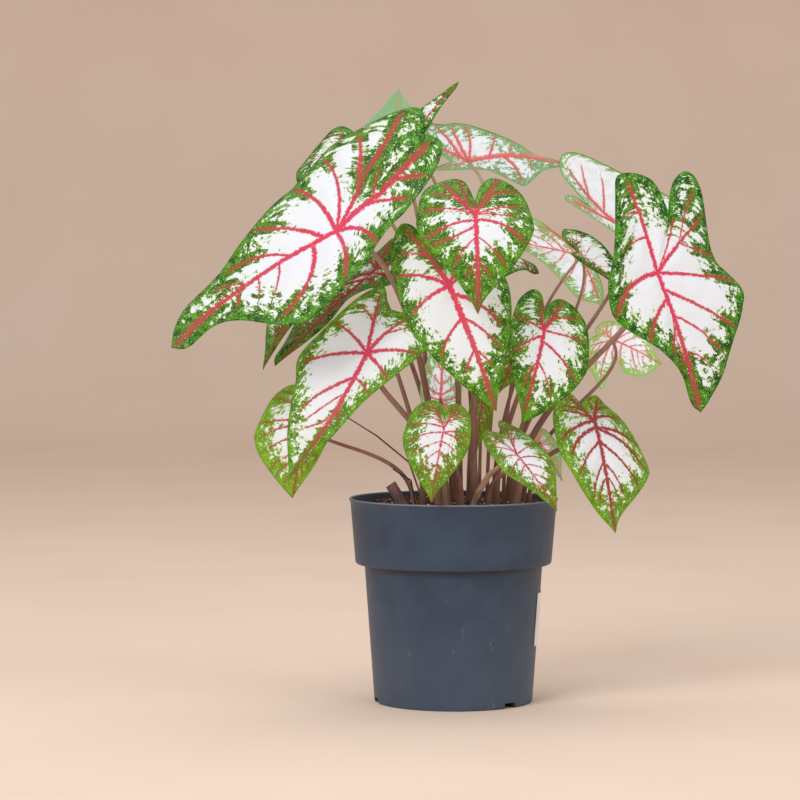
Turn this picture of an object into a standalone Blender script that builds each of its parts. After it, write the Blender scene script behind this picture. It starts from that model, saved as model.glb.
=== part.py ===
"""Caladium in a nursery pot: a turned pot, potting mix, and leaves on petioles that stand in the mix.

X runs to the viewer's right, Y to the back and Z up. The origin is the middle of the pot's foot.
Driving sizes are in millimetres and are turned to metres where the mesh is made.
"""

import math
import random

import bmesh
import bpy
from mathutils import Matrix, Vector

MM = 0.001
GAP = 0.3
SEED = 7

# Pot
RIM_RADIUS = 105.0
POT_HEIGHT = 205.0
LIP_RADIUS = 1.4
COLLAR_TOP_RADIUS = 104.0
COLLAR_FOOT_RADIUS = 98.5
COLLAR_FOOT = 139.0
BODY_TOP_RADIUS = 89.5
FOOT_RADIUS = 79.5
POT_WALL = 2.0
FLOOR_UNDERSIDE = 7.0
FLOOR_THICKNESS = 2.5
FOOT_RING_WIDTH = 3.0
CENTRE_FOOT_RADIUS = 14.0
POT_STEPS = 48
NOTCH_ANGLES = (-75.0, 45.0, 165.0)
NOTCH_WIDTH = 18.0
NOTCH_HEIGHT = 5.5
DRAIN_RING_RADIUS = 48.0
DRAIN_RADIUS = 6.0
DRAIN_COUNT = 6
DRAIN_SIDES = 16
STEP_EDGE = 1.2

# Blank label on the pot's right side
LABEL_FROM = 73.0
LABEL_TO = 128.0
LABEL_BOTTOM = 58.0
LABEL_TOP = 111.0
LABEL_THICKNESS = 0.6
LABEL_STANDOFF = 0.4
LABEL_COLUMNS = 12

# Potting mix
SOIL_TOP = 196.0
SOIL_CROWN = 3.0
SOIL_RELIEF = 1.3
SOIL_COLUMNS = 32
SOIL_RINGS = 5
SOIL_CLEARANCE = 0.6

# Petioles
ROOT_DEPTH = 14.0
STRAIGHT_ABOVE_SOIL = 14.0
PETIOLE_POINTS = 11
PETIOLE_BEVEL_RESOLUTION = 1
NECK = 5.0
TOP_GAP = 0.6
FOOT_LEAN = 0.18
STEM_HOLE_ABOVE = 20.0

# Blades
BLADE_THICKNESS = 0.7
LOBE_LIFT = 4.0
LOBE_TURN_LIMIT = 1.2
MARGIN_STEP = 2.0 / 3.0
BLADE_RINGS = (0.0, 0.45, 0.8, 1.0)
# How far forward of its widest point a blade's margin has narrowed, and to what share of its width
FORWARD_MARGIN = ((0.88, 0.104), (0.7, 0.344), (0.45, 0.69), (0.2, 0.935))
# The same between its widest point and the end of its lobe
BACKWARD_MARGIN = ((0.6, 0.82), (0.88, 0.45))


class Leaf:
    """One leaf. hub and tip are the two ends of its midrib.

    facing is the azimuth and elevation of its upper side, with the viewer at azimuth 0.
    A side is (half width, how far ahead of the hub that is, reach behind the hub, offset of the lobe's end).
    A sinus is (how far behind the hub, offset).
    root is where the petiole leaves the mix, and stem holds its radii at the foot and at the top.
    """

    def __init__(self, name, hub, tip, facing, left, right, sinus, root, stem, **form):
        self.name = name
        self.hub = Vector(hub)
        self.tip = Vector(tip)
        self.left = left
        self.right = right
        self.sinus = sinus
        self.root = root
        self.stem = stem
        self.skew = form.get("skew", 0.0)
        self.arch = form.get("arch", 6.0)
        self.nape = form.get("nape", 12.0)
        self.fold = form.get("fold", 0.12)
        self.curl = form.get("curl", 0.18)
        self.wave = form.get("wave", 3.0)
        self.waves = form.get("waves", 5)
        self.phase = form.get("phase", 0.0)
        self.twist = math.radians(form.get("twist", 0.0))
        self.close = math.radians(form.get("close", 0.0))
        self.full = {-1: form.get("left_full", 1.0), 1: form.get("right_full", 1.0)}
        self.waist = {-1: form.get("left_waist", 1.0), 1: form.get("right_waist", 1.0)}
        self.forward = {-1: form.get("left_forward", FORWARD_MARGIN), 1: form.get("right_forward", FORWARD_MARGIN)}
        self.backward = {
            -1: form.get("left_backward", BACKWARD_MARGIN),
            1: form.get("right_backward", BACKWARD_MARGIN),
        }
        self.inner = {-1: form.get("left_inner", 0.4), 1: form.get("right_inner", 0.4)}
        self.via = form.get("via")
        self.length = (self.tip - self.hub).length
        azimuth, elevation = (math.radians(angle) for angle in facing)
        self.along = (self.tip - self.hub).normalized()
        outward = Vector((
            math.cos(elevation) * math.sin(azimuth),
            -math.cos(elevation) * math.cos(azimuth),
            math.sin(elevation),
        ))
        self.normal = (outward - self.along * outward.dot(self.along)).normalized()
        self.across = self.normal.cross(self.along)


LEAVES = (
    Leaf("01", (-114, -95, 470), (-271, -130, 358), (-30, 35),
         left=(92, 10, 137, 70), right=(77, 63, 128, 60), sinus=(62, -16), root=(-14, -34), stem=(4.2, 2.2),
         left_forward=((0.91, 0.18), (0.78, 0.4), (0.54, 0.52), (0.33, 0.68)),
         right_forward=((0.9, 0.13), (0.7, 0.18), (0.5, 0.39), (0.25, 0.86)),
         left_backward=((0.4, 1.45), (0.88, 1.05)), right_backward=((0.5, -0.1), (0.92, 0.76)),
         left_inner=0.37, skew=-0.45, close=16, arch=3, nape=0, fold=0.06, curl=0.1,
         wave=4, waves=6, phase=3.1, via=(-50, -60, 465)),
    Leaf("02", (-101, -22, 498), (-186, -38, 333), (-40, 30),
         left=(62, -20, 70, 36), right=(50, 0, 66, 30), sinus=(40, 0), root=(-20, -8), stem=(3, 1.6),
         left_forward=((0.92, 0.2), (0.8, 0.5), (0.6, 0.72), (0.3, 0.92)),
         right_forward=((0.92, 0.06), (0.74, 0.12), (0.5, 0.4), (0.2, 0.9)),
         wave=5, waves=4, phase=1.0, via=(-30, 50, 510)),
    Leaf("03", (-50, 72, 545), (-57, 98, 622), (178, 0),
         left=(42, 36, 36, 16), right=(24, 20, 30, 12), sinus=(18, 0), root=(2, 34), stem=(3, 1.5),
         left_forward=((0.85, 0.16), (0.55, 0.48), (0.37, 0.74), (0.17, 0.93)),
         right_forward=((0.85, 0.16), (0.62, 0.54), (0.48, 0.72), (0.2, 0.93)),
         arch=3, wave=2, phase=0.6),
    Leaf("04", (-82, 0, 430), (-176, -34, 336), (-42, 54),
         left=(44, 50, 46, 24), right=(38, 2, 46, 18), sinus=(25, 0), root=(-30, -24), stem=(3, 1.6),
         right_forward=((0.78, 0.12), (0.5, 0.3), (0.3, 0.28), (0.12, 0.68)),
         left_full=1.9, arch=3, nape=4, wave=3, phase=2.0),
    Leaf("05", (-84, -94, 352), (-158, -122, 231), (-25, 18),
         left=(66, 34, 69, 34), right=(49, -22, 55, 18), sinus=(50, -8), root=(-6, -50), stem=(4, 2.2),
         left_forward=((0.88, 0.17), (0.7, 0.36), (0.43, 0.58), (0.2, 0.8)),
         right_forward=((0.88, 0.15), (0.7, 0.3), (0.45, 0.52), (0.2, 0.84)),
         left_backward=((0.35, 0.7), (0.8, 0.38)), right_backward=((0.5, 0.93), (0.85, 0.55)),
         left_inner=0.5, right_inner=0.5, arch=4, nape=2, fold=0.08, curl=0.12, wave=3.5, waves=6, phase=0.5),
    Leaf("06", (-142, -64, 284), (-157, -72, 209), (-15, 20),
         left=(54, 16, 34, 26), right=(25, 10, 30, 14), sinus=(14, 0), root=(-38, -44), stem=(2.4, 1.5),
         left_full=1.4, wave=2.5, phase=1.5),
    Leaf("07", (21, -112, 486), (23, -166, 391), (5, 32),
         left=(57, 6, 49, 20), right=(56, 8, 49, 18), sinus=(18, 0), root=(20, -40), stem=(3.8, 2),
         arch=7, wave=2.5, waves=6, via=(22, -44, 446)),
    Leaf("08", (-4, -106, 417), (41, -134, 297), (0, 18),
         left=(50, 12, 76, 20), right=(54, 10, 38, 30), sinus=(26, 0), root=(6, -24), stem=(3.8, 2),
         left_full=1.3, right_full=1.1, arch=4, nape=4, wave=3, phase=0.8),
    Leaf("09", (39, 4, 442), (86, 14, 430), (20, 55),
         left=(26, 5, 26, 10), right=(26, 5, 26, 10), sinus=(12, 0), root=(34, 2), stem=(2, 1.2)),
    Leaf("10", (88, -84, 374), (65, -114, 285), (15, 20),
         left=(34, 8, 41, 17), right=(51, 18, 39, 12), sinus=(22, -3), root=(42, -38), stem=(3.4, 1.8),
         right_full=1.5, wave=2.5, phase=2.2),
    Leaf("11", (200, -55, 430), (240, -85, 294), (25, 12),
         left=(62, 25, 110, 42), right=(90, 27, 101, 36), sinus=(60, 12), root=(60, -18), stem=(4, 2.2),
         left_forward=((0.9, 0.08), (0.66, 0.16), (0.42, 0.47), (0.2, 0.84)),
         right_forward=((0.9, 0.15), (0.72, 0.42), (0.45, 0.67), (0.2, 0.89)),
         left_backward=((0.35, 0.55), (0.8, 0.32)), right_backward=((0.33, 0.55), (0.82, 0.3)),
         left_inner=0.4, right_inner=0.36, skew=0.4, arch=4, nape=4, fold=0.08, curl=0.12,
         wave=4, waves=6, phase=0.4),
    Leaf("12", (171, 84, 480), (264, 112, 442), (160, 40),
         left=(72, -5, 106, 32), right=(15, 5, 70, 15), sinus=(42, 5), root=(56, 20), stem=(3.2, 1.5),
         left_backward=((0.6, 0.68), (0.88, 0.38)), skew=-0.4, arch=3, nape=0, fold=0.06, curl=0.1),
    Leaf("13", (15, 60, 545), (129, 90, 537), (175, 35),
         left=(48, -15, 56, 50), right=(33, 68, 36, 9), sinus=(20, 0), root=(16, 16), stem=(3, 1.5),
         left_forward=((0.88, 0.14), (0.75, 0.2), (0.62, 0.22), (0.4, 0.54)),
         right_forward=((0.85, 0.07), (0.6, 0.13), (0.3, 0.27), (0.16, 0.62)),
         right_backward=((0.17, 0.73), (0.44, 0.22)), wave=3, waves=4, twist=15),
    Leaf("14", (-47, -8, 551), (5, 22, 623), (-40, 25),
         left=(7, 30, 20, 6), right=(28, 40, 20, 8), sinus=(12, 0), root=(-2, 10), stem=(2.6, 1.5),
         right_forward=((0.85, 0.09), (0.7, 0.22), (0.45, 0.53), (0.22, 0.78)), left_full=2,
         arch=3, wave=1),
    Leaf("15", (130, 70, 449), (47, 60, 466), (170, 40),
         left=(50, -10, 38, 54), right=(32, 56, 12, 4), sinus=(9, -1), root=(40, 16), stem=(2.6, 1.3),
         left_forward=((0.88, 0.09), (0.68, 0.25), (0.43, 0.52), (0.2, 0.78)),
         right_backward=((0.35, 0.57), (0.75, 0.2)), left_inner=0.5, arch=3, wave=2),
    Leaf("16", (129, 8, 448), (178, -4, 406), (25, 15),
         left=(8, 12, 10, 5), right=(29, -12, 36, 20), sinus=(8, 1), root=(54, 2), stem=(2.4, 1.3),
         right_inner=0.36, left_full=1.5, wave=1),
    Leaf("17", (162, 40, 363), (213, 56, 338), (160, 30),
         left=(26, 8, 25, 10), right=(61, 25, 21, 16), sinus=(17, 0), root=(70, 4), stem=(2.6, 1.5),
         right_forward=((0.97, 0.25), (0.8, 0.44), (0.26, 0.53), (-0.14, 0.43)),
         right_backward=((0.34, 0.78), (0.66, 0.51)), arch=3, wave=2),
    Leaf("18", (139, -45, 284), (157, -75, 175), (35, 15),
         left=(50, 28, 30, 24), right=(54, 46, 27, 10), sinus=(18, -8), root=(62, -40), stem=(3.4, 1.8),
         left_full=1.2, right_full=0.8, right_waist=1.8, wave=3, phase=1.2),
    Leaf("19", (-9, -100, 280), (-21, -120, 209), (0, 15),
         left=(38, 12, 27, 15), right=(27, 8, 27, 10), sinus=(20, -3), root=(8, -62), stem=(2.8, 1.5),
         left_full=1.2, wave=1.5, arch=4),
    Leaf("20", (62, -90, 253), (100, -115, 200), (20, 30),
         left=(23, 8, 42, 7), right=(28, 14, 46, 17), sinus=(30, 5), root=(34, -58), stem=(2.8, 1.5),
         wave=1.5, arch=4),
    Leaf("21", (87, -2, 260), (109, -10, 222), (170, 30),
         left=(16, 5, 14, 6), right=(16, 5, 14, 6), sinus=(7, 0), root=(76, -18), stem=(2, 1.2),
         wave=1, arch=2),
    Leaf("22", (-13, -20, 304), (-9, -44, 379), (180, 30),
         left=(21, 12, 18, 8), right=(21, 12, 18, 8), sinus=(10, 0), root=(-8, -4), stem=(2.4, 1.4),
         wave=1, arch=3),
    Leaf("23", (29, -10, 309), (23, -18, 252), (0, 20),
         left=(12, 20, 14, 5), right=(12, 20, 14, 5), sinus=(7, 0), root=(26, -4), stem=(2, 1.2),
         wave=1, arch=2),
    Leaf("24", (66, -40, 359), (45, -54, 312), (10, 25),
         left=(20, 10, 20, 8), right=(20, 10, 20, 8), sinus=(10, 0), root=(50, -12), stem=(2, 1.2),
         wave=1, arch=2),
    Leaf("25", (-121, 43, 544), (-145, 26, 488), (-30, 25),
         left=(40, 6, 50, 28), right=(34, 6, 34, 14), sinus=(24, 0), root=(-14, 34), stem=(3, 1.6),
         wave=4),
    Leaf("26", (8, 120, 462), (12, 175, 368), (175, 35),
         left=(46, 10, 48, 18), right=(46, 10, 48, 18), sinus=(24, 0), root=(22, 38), stem=(3.2, 1.8),
         wave=4, phase=2.0),
)

# Small growth at the crown: name, points from the foot in the mix to the end, radii at those points
CROWN_GROWTH = (
    ("sheath", ((17, -63, 184), (18, -63, 200), (24, -64, 214), (35, -66, 232), (50, -68, 246)),
     (2.2, 2.6, 3.6, 3.2, 0.7)),
    ("cut_stub", ((-50, -57, 184), (-51, -57, 202), (-55, -57, 211), (-62, -57, 222)), (5.5, 5.5, 6.0, 6.2)),
    ("twig", ((-36, -54, 184), (-37, -54, 200), (-42, -55, 226), (-60, -56, 237)), (1.0, 1.0, 0.9, 0.5)),
    ("thin_stalk", ((-28, -36, 184), (-29, -37, 200), (-44, -44, 243), (-76, -54, 270), (-104, -62, 288)),
     (1.1, 1.1, 0.9, 0.8, 0.6)),
)


def clear_scene():
    for item in list(bpy.data.objects):
        bpy.data.objects.remove(item, do_unlink=True)


def new_collection(name):
    collection = bpy.data.collections.new(name)
    bpy.context.scene.collection.children.link(collection)
    return collection


def material(name, colour, roughness, metallic=0.0):
    made = bpy.data.materials.new(name)
    made.use_nodes = True
    shader = made.node_tree.nodes["Principled BSDF"]
    shader.inputs["Base Color"].default_value = (*colour, 1.0)
    shader.inputs["Roughness"].default_value = roughness
    shader.inputs["Metallic"].default_value = metallic
    return made


def link_object(name, data, collection, finish=None):
    item = bpy.data.objects.new(name, data)
    collection.objects.link(item)
    if finish:
        item.data.materials.append(finish)
    return item


def mesh_object(name, bm, collection, finish=None):
    mesh = bpy.data.meshes.new(name)
    bm.to_mesh(mesh)
    bm.free()
    return link_object(name, mesh, collection, finish)


def smooth_rounds(mesh, angle=35.0):
    mesh.shade_smooth()
    mesh.set_sharp_from_angle(angle=math.radians(angle))


def subtract(item, cutters):
    """A Boolean that takes every object of a collection away from item."""
    cut = item.modifiers.new("Cut", "BOOLEAN")
    cut.operation = "DIFFERENCE"
    cut.operand_type = "COLLECTION"
    cut.collection = cutters
    cut.solver = "EXACT"


def cutter(bm, name, collection):
    item = mesh_object(name, bm, collection)
    item.hide_render = True
    item.display_type = "WIRE"
    return item


def polar_sheet(columns, rings, place):
    """A grid wrapped round a hub: place(column, ring) gives each point, and seam and hub are merged."""
    bm = bmesh.new()
    bmesh.ops.create_grid(bm, x_segments=columns, y_segments=rings, size=0.5)
    for vert in bm.verts:
        column = round((vert.co.x + 0.5) * columns)
        ring = round((vert.co.y + 0.5) * rings)
        vert.co = place(column, ring)
    bmesh.ops.remove_doubles(bm, verts=bm.verts, dist=1e-6)
    return bm


# Pot, label and potting mix


def outer_radius(height):
    """The pot body's outer radius, which tapers to the foot."""
    return FOOT_RADIUS + (BODY_TOP_RADIUS - FOOT_RADIUS) * height / COLLAR_FOOT


def collar_radius(height):
    share = (height - COLLAR_FOOT) / (POT_HEIGHT - COLLAR_FOOT)
    return COLLAR_FOOT_RADIUS + (COLLAR_TOP_RADIUS - COLLAR_FOOT_RADIUS) * share


def pot_profile():
    """Radius and height, from the top of the lip down the outside, under the foot and up the inside."""
    lip = []
    for turn in (0.0, math.pi / 4, math.pi / 2, 0.8 * math.pi):
        out = RIM_RADIUS - LIP_RADIUS * (1.0 - math.sin(turn))
        lip.append((out, POT_HEIGHT - LIP_RADIUS * (1.0 - math.cos(turn))))
    outside = [
        (collar_radius(POT_HEIGHT - 4.0), POT_HEIGHT - 4.0),
        (collar_radius(COLLAR_FOOT + STEP_EDGE), COLLAR_FOOT + STEP_EDGE),
        (COLLAR_FOOT_RADIUS - STEP_EDGE, COLLAR_FOOT),
        (BODY_TOP_RADIUS + 1.0, COLLAR_FOOT + 0.4),
        (outer_radius(COLLAR_FOOT - 2.0), COLLAR_FOOT - 2.0),
        (outer_radius(2.0), 2.0),
        (FOOT_RADIUS - 1.2, 0.0),
        (FOOT_RADIUS - 1.2 - FOOT_RING_WIDTH, 0.0),
        (FOOT_RADIUS - 1.6 - FOOT_RING_WIDTH, FLOOR_UNDERSIDE),
        (CENTRE_FOOT_RADIUS + 1.5, FLOOR_UNDERSIDE),
        (CENTRE_FOOT_RADIUS, 0.0),
        (0.0, 0.0),
    ]
    floor = FLOOR_UNDERSIDE + FLOOR_THICKNESS
    ledge = COLLAR_FOOT + POT_WALL
    inside = [
        (0.0, floor),
        (outer_radius(floor) - POT_WALL, floor),
        (outer_radius(ledge) - POT_WALL, ledge),
        (collar_radius(ledge) - POT_WALL, ledge + 0.4),
        (collar_radius(POT_HEIGHT - 3.0) - POT_WALL, POT_HEIGHT - 3.0),
        (collar_radius(POT_HEIGHT - 1.0) - POT_WALL, POT_HEIGHT - 0.4),
    ]
    return lip + outside + inside


def inner_radius(height):
    """The pot's inner radius at a height."""
    if height > COLLAR_FOOT + POT_WALL:
        return collar_radius(height) - POT_WALL
    return outer_radius(height) - POT_WALL


def profile_mesh(name, points):
    mesh = bpy.data.meshes.new(name)
    bm = bmesh.new()
    verts = [bm.verts.new((radius * MM, 0.0, height * MM)) for radius, height in points]
    for first, second in zip(verts, verts[1:]):
        bm.edges.new((first, second))
    bm.edges.new((verts[-1], verts[0]))
    bm.to_mesh(mesh)
    bm.free()
    return mesh


def turned(name, points, collection, finish):
    """A closed profile spun about Z."""
    item = link_object(name, profile_mesh(name, points), collection, finish)
    screw = item.modifiers.new("Spin", "SCREW")
    screw.steps = POT_STEPS
    screw.render_steps = POT_STEPS
    screw.use_merge_vertices = True
    screw.merge_threshold = 0.00001
    screw.use_smooth_shade = False
    return item


def make_pot(collection, cutters, finish):
    pot = turned("pot", pot_profile(), collection, finish)
    for number, angle in enumerate(NOTCH_ANGLES, 1):
        notch = bmesh.new()
        bmesh.ops.create_cube(notch, size=1.0)
        for vert in notch.verts:
            flare = 0.8 if vert.co.z > 0 else 1.0
            vert.co = Vector((
                vert.co.x * NOTCH_WIDTH * flare,
                -FOOT_RADIUS + vert.co.y * 4.0 * FOOT_RING_WIDTH,
                (vert.co.z - 0.5) * 2.0 * NOTCH_HEIGHT + NOTCH_HEIGHT,
            )) * MM
        bmesh.ops.rotate(notch, verts=notch.verts, matrix=Matrix.Rotation(math.radians(angle), 3, "Z"))
        cutter(notch, f"notch_cutter_{number}", cutters)
    for number in range(DRAIN_COUNT):
        angle = 2.0 * math.pi * (number + 0.5) / DRAIN_COUNT
        drain = bmesh.new()
        bmesh.ops.create_cone(
            drain, cap_ends=True, segments=DRAIN_SIDES, radius1=DRAIN_RADIUS * MM, radius2=DRAIN_RADIUS * MM,
            depth=4.0 * FLOOR_THICKNESS * MM,
        )
        middle = Vector((
            DRAIN_RING_RADIUS * math.cos(angle), DRAIN_RING_RADIUS * math.sin(angle),
            FLOOR_UNDERSIDE + 0.5 * FLOOR_THICKNESS,
        ))
        bmesh.ops.translate(drain, verts=drain.verts, vec=middle * MM)
        cutter(drain, f"drain_cutter_{number + 1}", cutters)
    subtract(pot, cutters)
    return pot


def make_label(collection, finish):
    """A blank sheet bent round the tapered body."""
    bm = bmesh.new()
    bmesh.ops.create_grid(bm, x_segments=LABEL_COLUMNS, y_segments=1, size=0.5)
    for vert in bm.verts:
        azimuth = math.radians(LABEL_FROM + (LABEL_TO - LABEL_FROM) * (vert.co.x + 0.5))
        height = LABEL_BOTTOM + (LABEL_TOP - LABEL_BOTTOM) * (vert.co.y + 0.5)
        radius = outer_radius(height) + LABEL_STANDOFF
        vert.co = Vector((radius * math.sin(azimuth), -radius * math.cos(azimuth), height)) * MM
    bmesh.ops.recalc_face_normals(bm, faces=bm.faces)
    if next(iter(bm.faces)).normal.x < 0:
        bmesh.ops.reverse_faces(bm, faces=bm.faces)
    label = mesh_object("pot_label", bm, collection, finish)
    thick = label.modifiers.new("Thickness", "SOLIDIFY")
    thick.thickness = LABEL_THICKNESS * MM
    thick.offset = 1.0
    return label


def make_soil(collection, cutters, finish):
    draw = random.Random(SEED)
    relief = [
        [draw.uniform(-SOIL_RELIEF, SOIL_RELIEF) for _ in range(SOIL_COLUMNS)]
        for _ in range(SOIL_RINGS + 1)
    ]
    edge = inner_radius(SOIL_TOP) - SOIL_CLEARANCE

    def place(column, ring):
        share = ring / SOIL_RINGS
        azimuth = 2.0 * math.pi * column / SOIL_COLUMNS
        bump = relief[ring][column % SOIL_COLUMNS] if 0 < ring < SOIL_RINGS else 0.0
        height = SOIL_TOP + SOIL_CROWN * (1.0 - share * share) + bump
        return Vector((edge * share * math.cos(azimuth), edge * share * math.sin(azimuth), height)) * MM

    bm = polar_sheet(SOIL_COLUMNS, SOIL_RINGS, place)
    ledge = COLLAR_FOOT + POT_WALL + 0.4
    floor = FLOOR_UNDERSIDE + FLOOR_THICKNESS + GAP
    levels = (
        (collar_radius(ledge) - POT_WALL - SOIL_CLEARANCE, ledge + SOIL_CLEARANCE),
        (outer_radius(ledge) - POT_WALL - SOIL_CLEARANCE, ledge + SOIL_CLEARANCE - 0.1),
        (outer_radius(floor) - POT_WALL - SOIL_CLEARANCE, floor),
    )
    for radius, height in levels:
        rim = [one for one in bm.edges if one.is_boundary]
        grown = bmesh.ops.extrude_edge_only(bm, edges=rim)["geom"]
        for vert in (one for one in grown if isinstance(one, bmesh.types.BMVert)):
            flat = Vector((vert.co.x, vert.co.y)).normalized() * radius * MM
            vert.co = Vector((flat.x, flat.y, height * MM))
    bmesh.ops.holes_fill(bm, edges=[one for one in bm.edges if one.is_boundary], sides=0)
    bmesh.ops.recalc_face_normals(bm, faces=bm.faces)
    soil = mesh_object("soil", bm, collection, finish)
    subtract(soil, cutters)
    return soil


# Blades


def catmull_rom(before, start, end, after, share):
    """A point of the smooth curve from start to end."""
    square = share * share
    cube = square * share
    return 0.5 * (
        2.0 * start
        + (end - before) * share
        + (2.0 * before - 5.0 * start + 4.0 * end - after) * square
        + (3.0 * start - before - 3.0 * end + after) * cube
    )


def margin_points(leaf, side, sign):
    """One half of a blade's outline in its flat plane, from the tip to the bottom of the sinus."""
    width, ahead, back, out = side
    points = [Vector((leaf.length, 0.0))]
    for share, narrowed in leaf.forward[sign]:
        kept = narrowed ** (1.0 / leaf.full[sign])
        points.append(Vector((ahead + (leaf.length - ahead) * share, sign * width * kept)))
    points.append(Vector((ahead, sign * width)))
    for share, narrowed in leaf.backward[sign]:
        kept = narrowed ** leaf.waist[sign]
        points.append(Vector((ahead - (ahead + back) * share, sign * (out + (width - out) * kept))))
    points.append(Vector((-back, sign * out)))
    depth, offset = leaf.sinus
    points.append(Vector((-(0.75 * back + 0.25 * depth), offset + (sign * out - offset) * leaf.inner[sign])))
    points.append(Vector((-depth, offset)))
    return points


def margin(leaf, step):
    """A point of the outline. step runs from -10 at the sinus, by the left side, to 0 at the tip and on to 10."""
    sign = 1 if step >= 0 else -1
    points = margin_points(leaf, leaf.right if step >= 0 else leaf.left, sign)
    other = margin_points(leaf, leaf.left if step >= 0 else leaf.right, -sign)
    first = min(int(abs(step)), len(points) - 2)
    before = points[first - 1] if first else other[1]
    after = points[first + 2] if first + 2 < len(points) else 2.0 * points[-1] - points[-2]
    if first == 0:
        before = 2.0 * points[0] - points[1]
    return catmull_rom(before, points[first], points[first + 1], after, abs(step) - first)


def bend(leaf, ahead, aside, ripple=0.0):
    """Where a point of the flat blade lies once it is arched, folded along its midrib, curled and rippled."""
    along = ahead / leaf.length
    lift = 4.0 * leaf.arch * along * (1.0 - max(along, 0.0))
    lift -= leaf.nape * min(along, 0.0) ** 2
    spread = abs(aside)
    half = (leaf.left[0] + leaf.right[0]) / 2.0
    lift += leaf.fold * spread - leaf.curl * spread * spread / half + ripple
    turned_by = leaf.twist * along
    sideways = aside * math.cos(turned_by) - lift * math.sin(turned_by)
    upwards = aside * math.sin(turned_by) + lift * math.cos(turned_by)
    return leaf.hub + leaf.along * ahead + leaf.across * sideways + leaf.normal * upwards


def blade_point(leaf, step, share):
    """The point of a blade at a step of its outline and a share of the way out from the hub."""
    flat = margin(leaf, step) * share
    ahead, aside = flat.x, flat.y
    ripple = leaf.wave * share**3 * math.sin(0.1 * math.pi * leaf.waves * step + leaf.phase)
    behind = max(-ahead, 0.0)
    if leaf.close:
        depth = leaf.sinus[0]
        beyond = min(max(behind - depth, 0.0) / depth, LOBE_TURN_LIMIT)
        sign = 1.0 if step >= 0 else -1.0
        turn = sign * leaf.close * beyond
        ahead, aside = (
            ahead * math.cos(turn) - aside * math.sin(turn),
            ahead * math.sin(turn) + aside * math.cos(turn),
        )
        ripple += sign * LOBE_LIFT * math.sqrt(beyond)
    return bend(leaf, ahead, aside + leaf.skew * behind, ripple)


def make_blade(leaf, collection, finish):
    steps = round(10 / MARGIN_STEP)
    columns = 2 * steps
    rings = len(BLADE_RINGS) - 1

    def place(column, ring):
        return blade_point(leaf, (column - steps) * MARGIN_STEP, BLADE_RINGS[ring]) * MM

    bm = polar_sheet(columns, rings, place)
    bmesh.ops.triangulate(bm, faces=bm.faces)
    bmesh.ops.recalc_face_normals(bm, faces=bm.faces)
    if sum((face.normal * face.calc_area() for face in bm.faces), Vector()).dot(leaf.normal) < 0:
        bmesh.ops.reverse_faces(bm, faces=bm.faces)
    blade = mesh_object(f"blade_{leaf.name}", bm, collection, finish)
    thick = blade.modifiers.new("Thickness", "SOLIDIFY")
    thick.thickness = BLADE_THICKNESS * MM
    thick.offset = 0.0
    return blade


# Petioles


def bezier(start, first, second, end, share):
    left = 1.0 - share
    return (
        start * left**3
        + first * 3.0 * left**2 * share
        + second * 3.0 * left * share**2
        + end * share**3
    )


def petiole_path(leaf):
    """Points from the foot in the mix to just under the blade, and the way it rises out of the mix."""
    surface = Vector((leaf.root[0], leaf.root[1], SOIL_TOP + SOIL_CROWN))
    lean = Vector((leaf.hub.x - surface.x, leaf.hub.y - surface.y, 0.0)) * FOOT_LEAN
    rise = (lean + Vector((0.0, 0.0, leaf.hub.z - surface.z))).normalized()
    slope = 4.0 * leaf.arch / leaf.length
    under = (leaf.normal - leaf.along * slope).normalized()
    top = leaf.hub - under * (0.5 * BLADE_THICKNESS + TOP_GAP)
    neck = top - under * NECK
    foot = surface - rise * ROOT_DEPTH
    start = surface + rise * STRAIGHT_ABOVE_SOIL
    span = (neck - start).length
    first = start + rise * span * 0.4
    if leaf.via:
        second = Vector(leaf.via)
    else:
        arrive = (leaf.normal * 0.75 - leaf.along * 0.65 + Vector((0.0, 0.0, 0.3))).normalized()
        second = neck - arrive * span * 0.25
    points = [foot]
    for number in range(PETIOLE_POINTS - 2):
        points.append(bezier(start, first, second, neck, number / (PETIOLE_POINTS - 3)))
    points.append(top)
    return points, rise


def tube(name, points, radii, collection, finish):
    """A round tapering tube through the points, as one closed mesh."""
    curve = bpy.data.curves.new(name, "CURVE")
    curve.dimensions = "3D"
    curve.bevel_depth = MM
    curve.bevel_resolution = PETIOLE_BEVEL_RESOLUTION
    curve.use_fill_caps = True
    spline = curve.splines.new("POLY")
    spline.points.add(len(points) - 1)
    for place, point, radius in zip(spline.points, points, radii):
        place.co = (*(point * MM), 1.0)
        place.radius = radius
    guide = link_object(name + "_path", curve, collection)
    bpy.context.view_layer.update()
    graph = bpy.context.evaluated_depsgraph_get()
    mesh = bpy.data.meshes.new_from_object(guide.evaluated_get(graph))
    mesh.name = name
    item = link_object(name, mesh, collection, finish)
    item.matrix_world = guide.matrix_world
    bpy.data.objects.remove(guide, do_unlink=True)
    bm = bmesh.new()
    bm.from_mesh(mesh)
    bmesh.ops.remove_doubles(bm, verts=bm.verts, dist=1e-6)
    bmesh.ops.recalc_face_normals(bm, faces=bm.faces)
    bm.to_mesh(mesh)
    bm.free()
    smooth_rounds(mesh)
    return item


def stem_hole(name, surface_point, rise, radius, cutters):
    """The plain hole in the mix that a stem stands in."""
    bottom = surface_point - rise * (ROOT_DEPTH + GAP)
    top = surface_point + rise * STEM_HOLE_ABOVE
    hole = bmesh.new()
    wide = (radius + GAP) * MM / math.cos(math.pi / 12)
    bmesh.ops.create_cone(
        hole, cap_ends=True, segments=12, radius1=wide, radius2=wide, depth=(top - bottom).length * MM,
    )
    turn = rise.to_track_quat("Z", "Y").to_matrix()
    bmesh.ops.rotate(hole, verts=hole.verts, matrix=turn)
    bmesh.ops.translate(hole, verts=hole.verts, vec=(top + bottom) * 0.5 * MM)
    cutter(hole, name, cutters)


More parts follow.
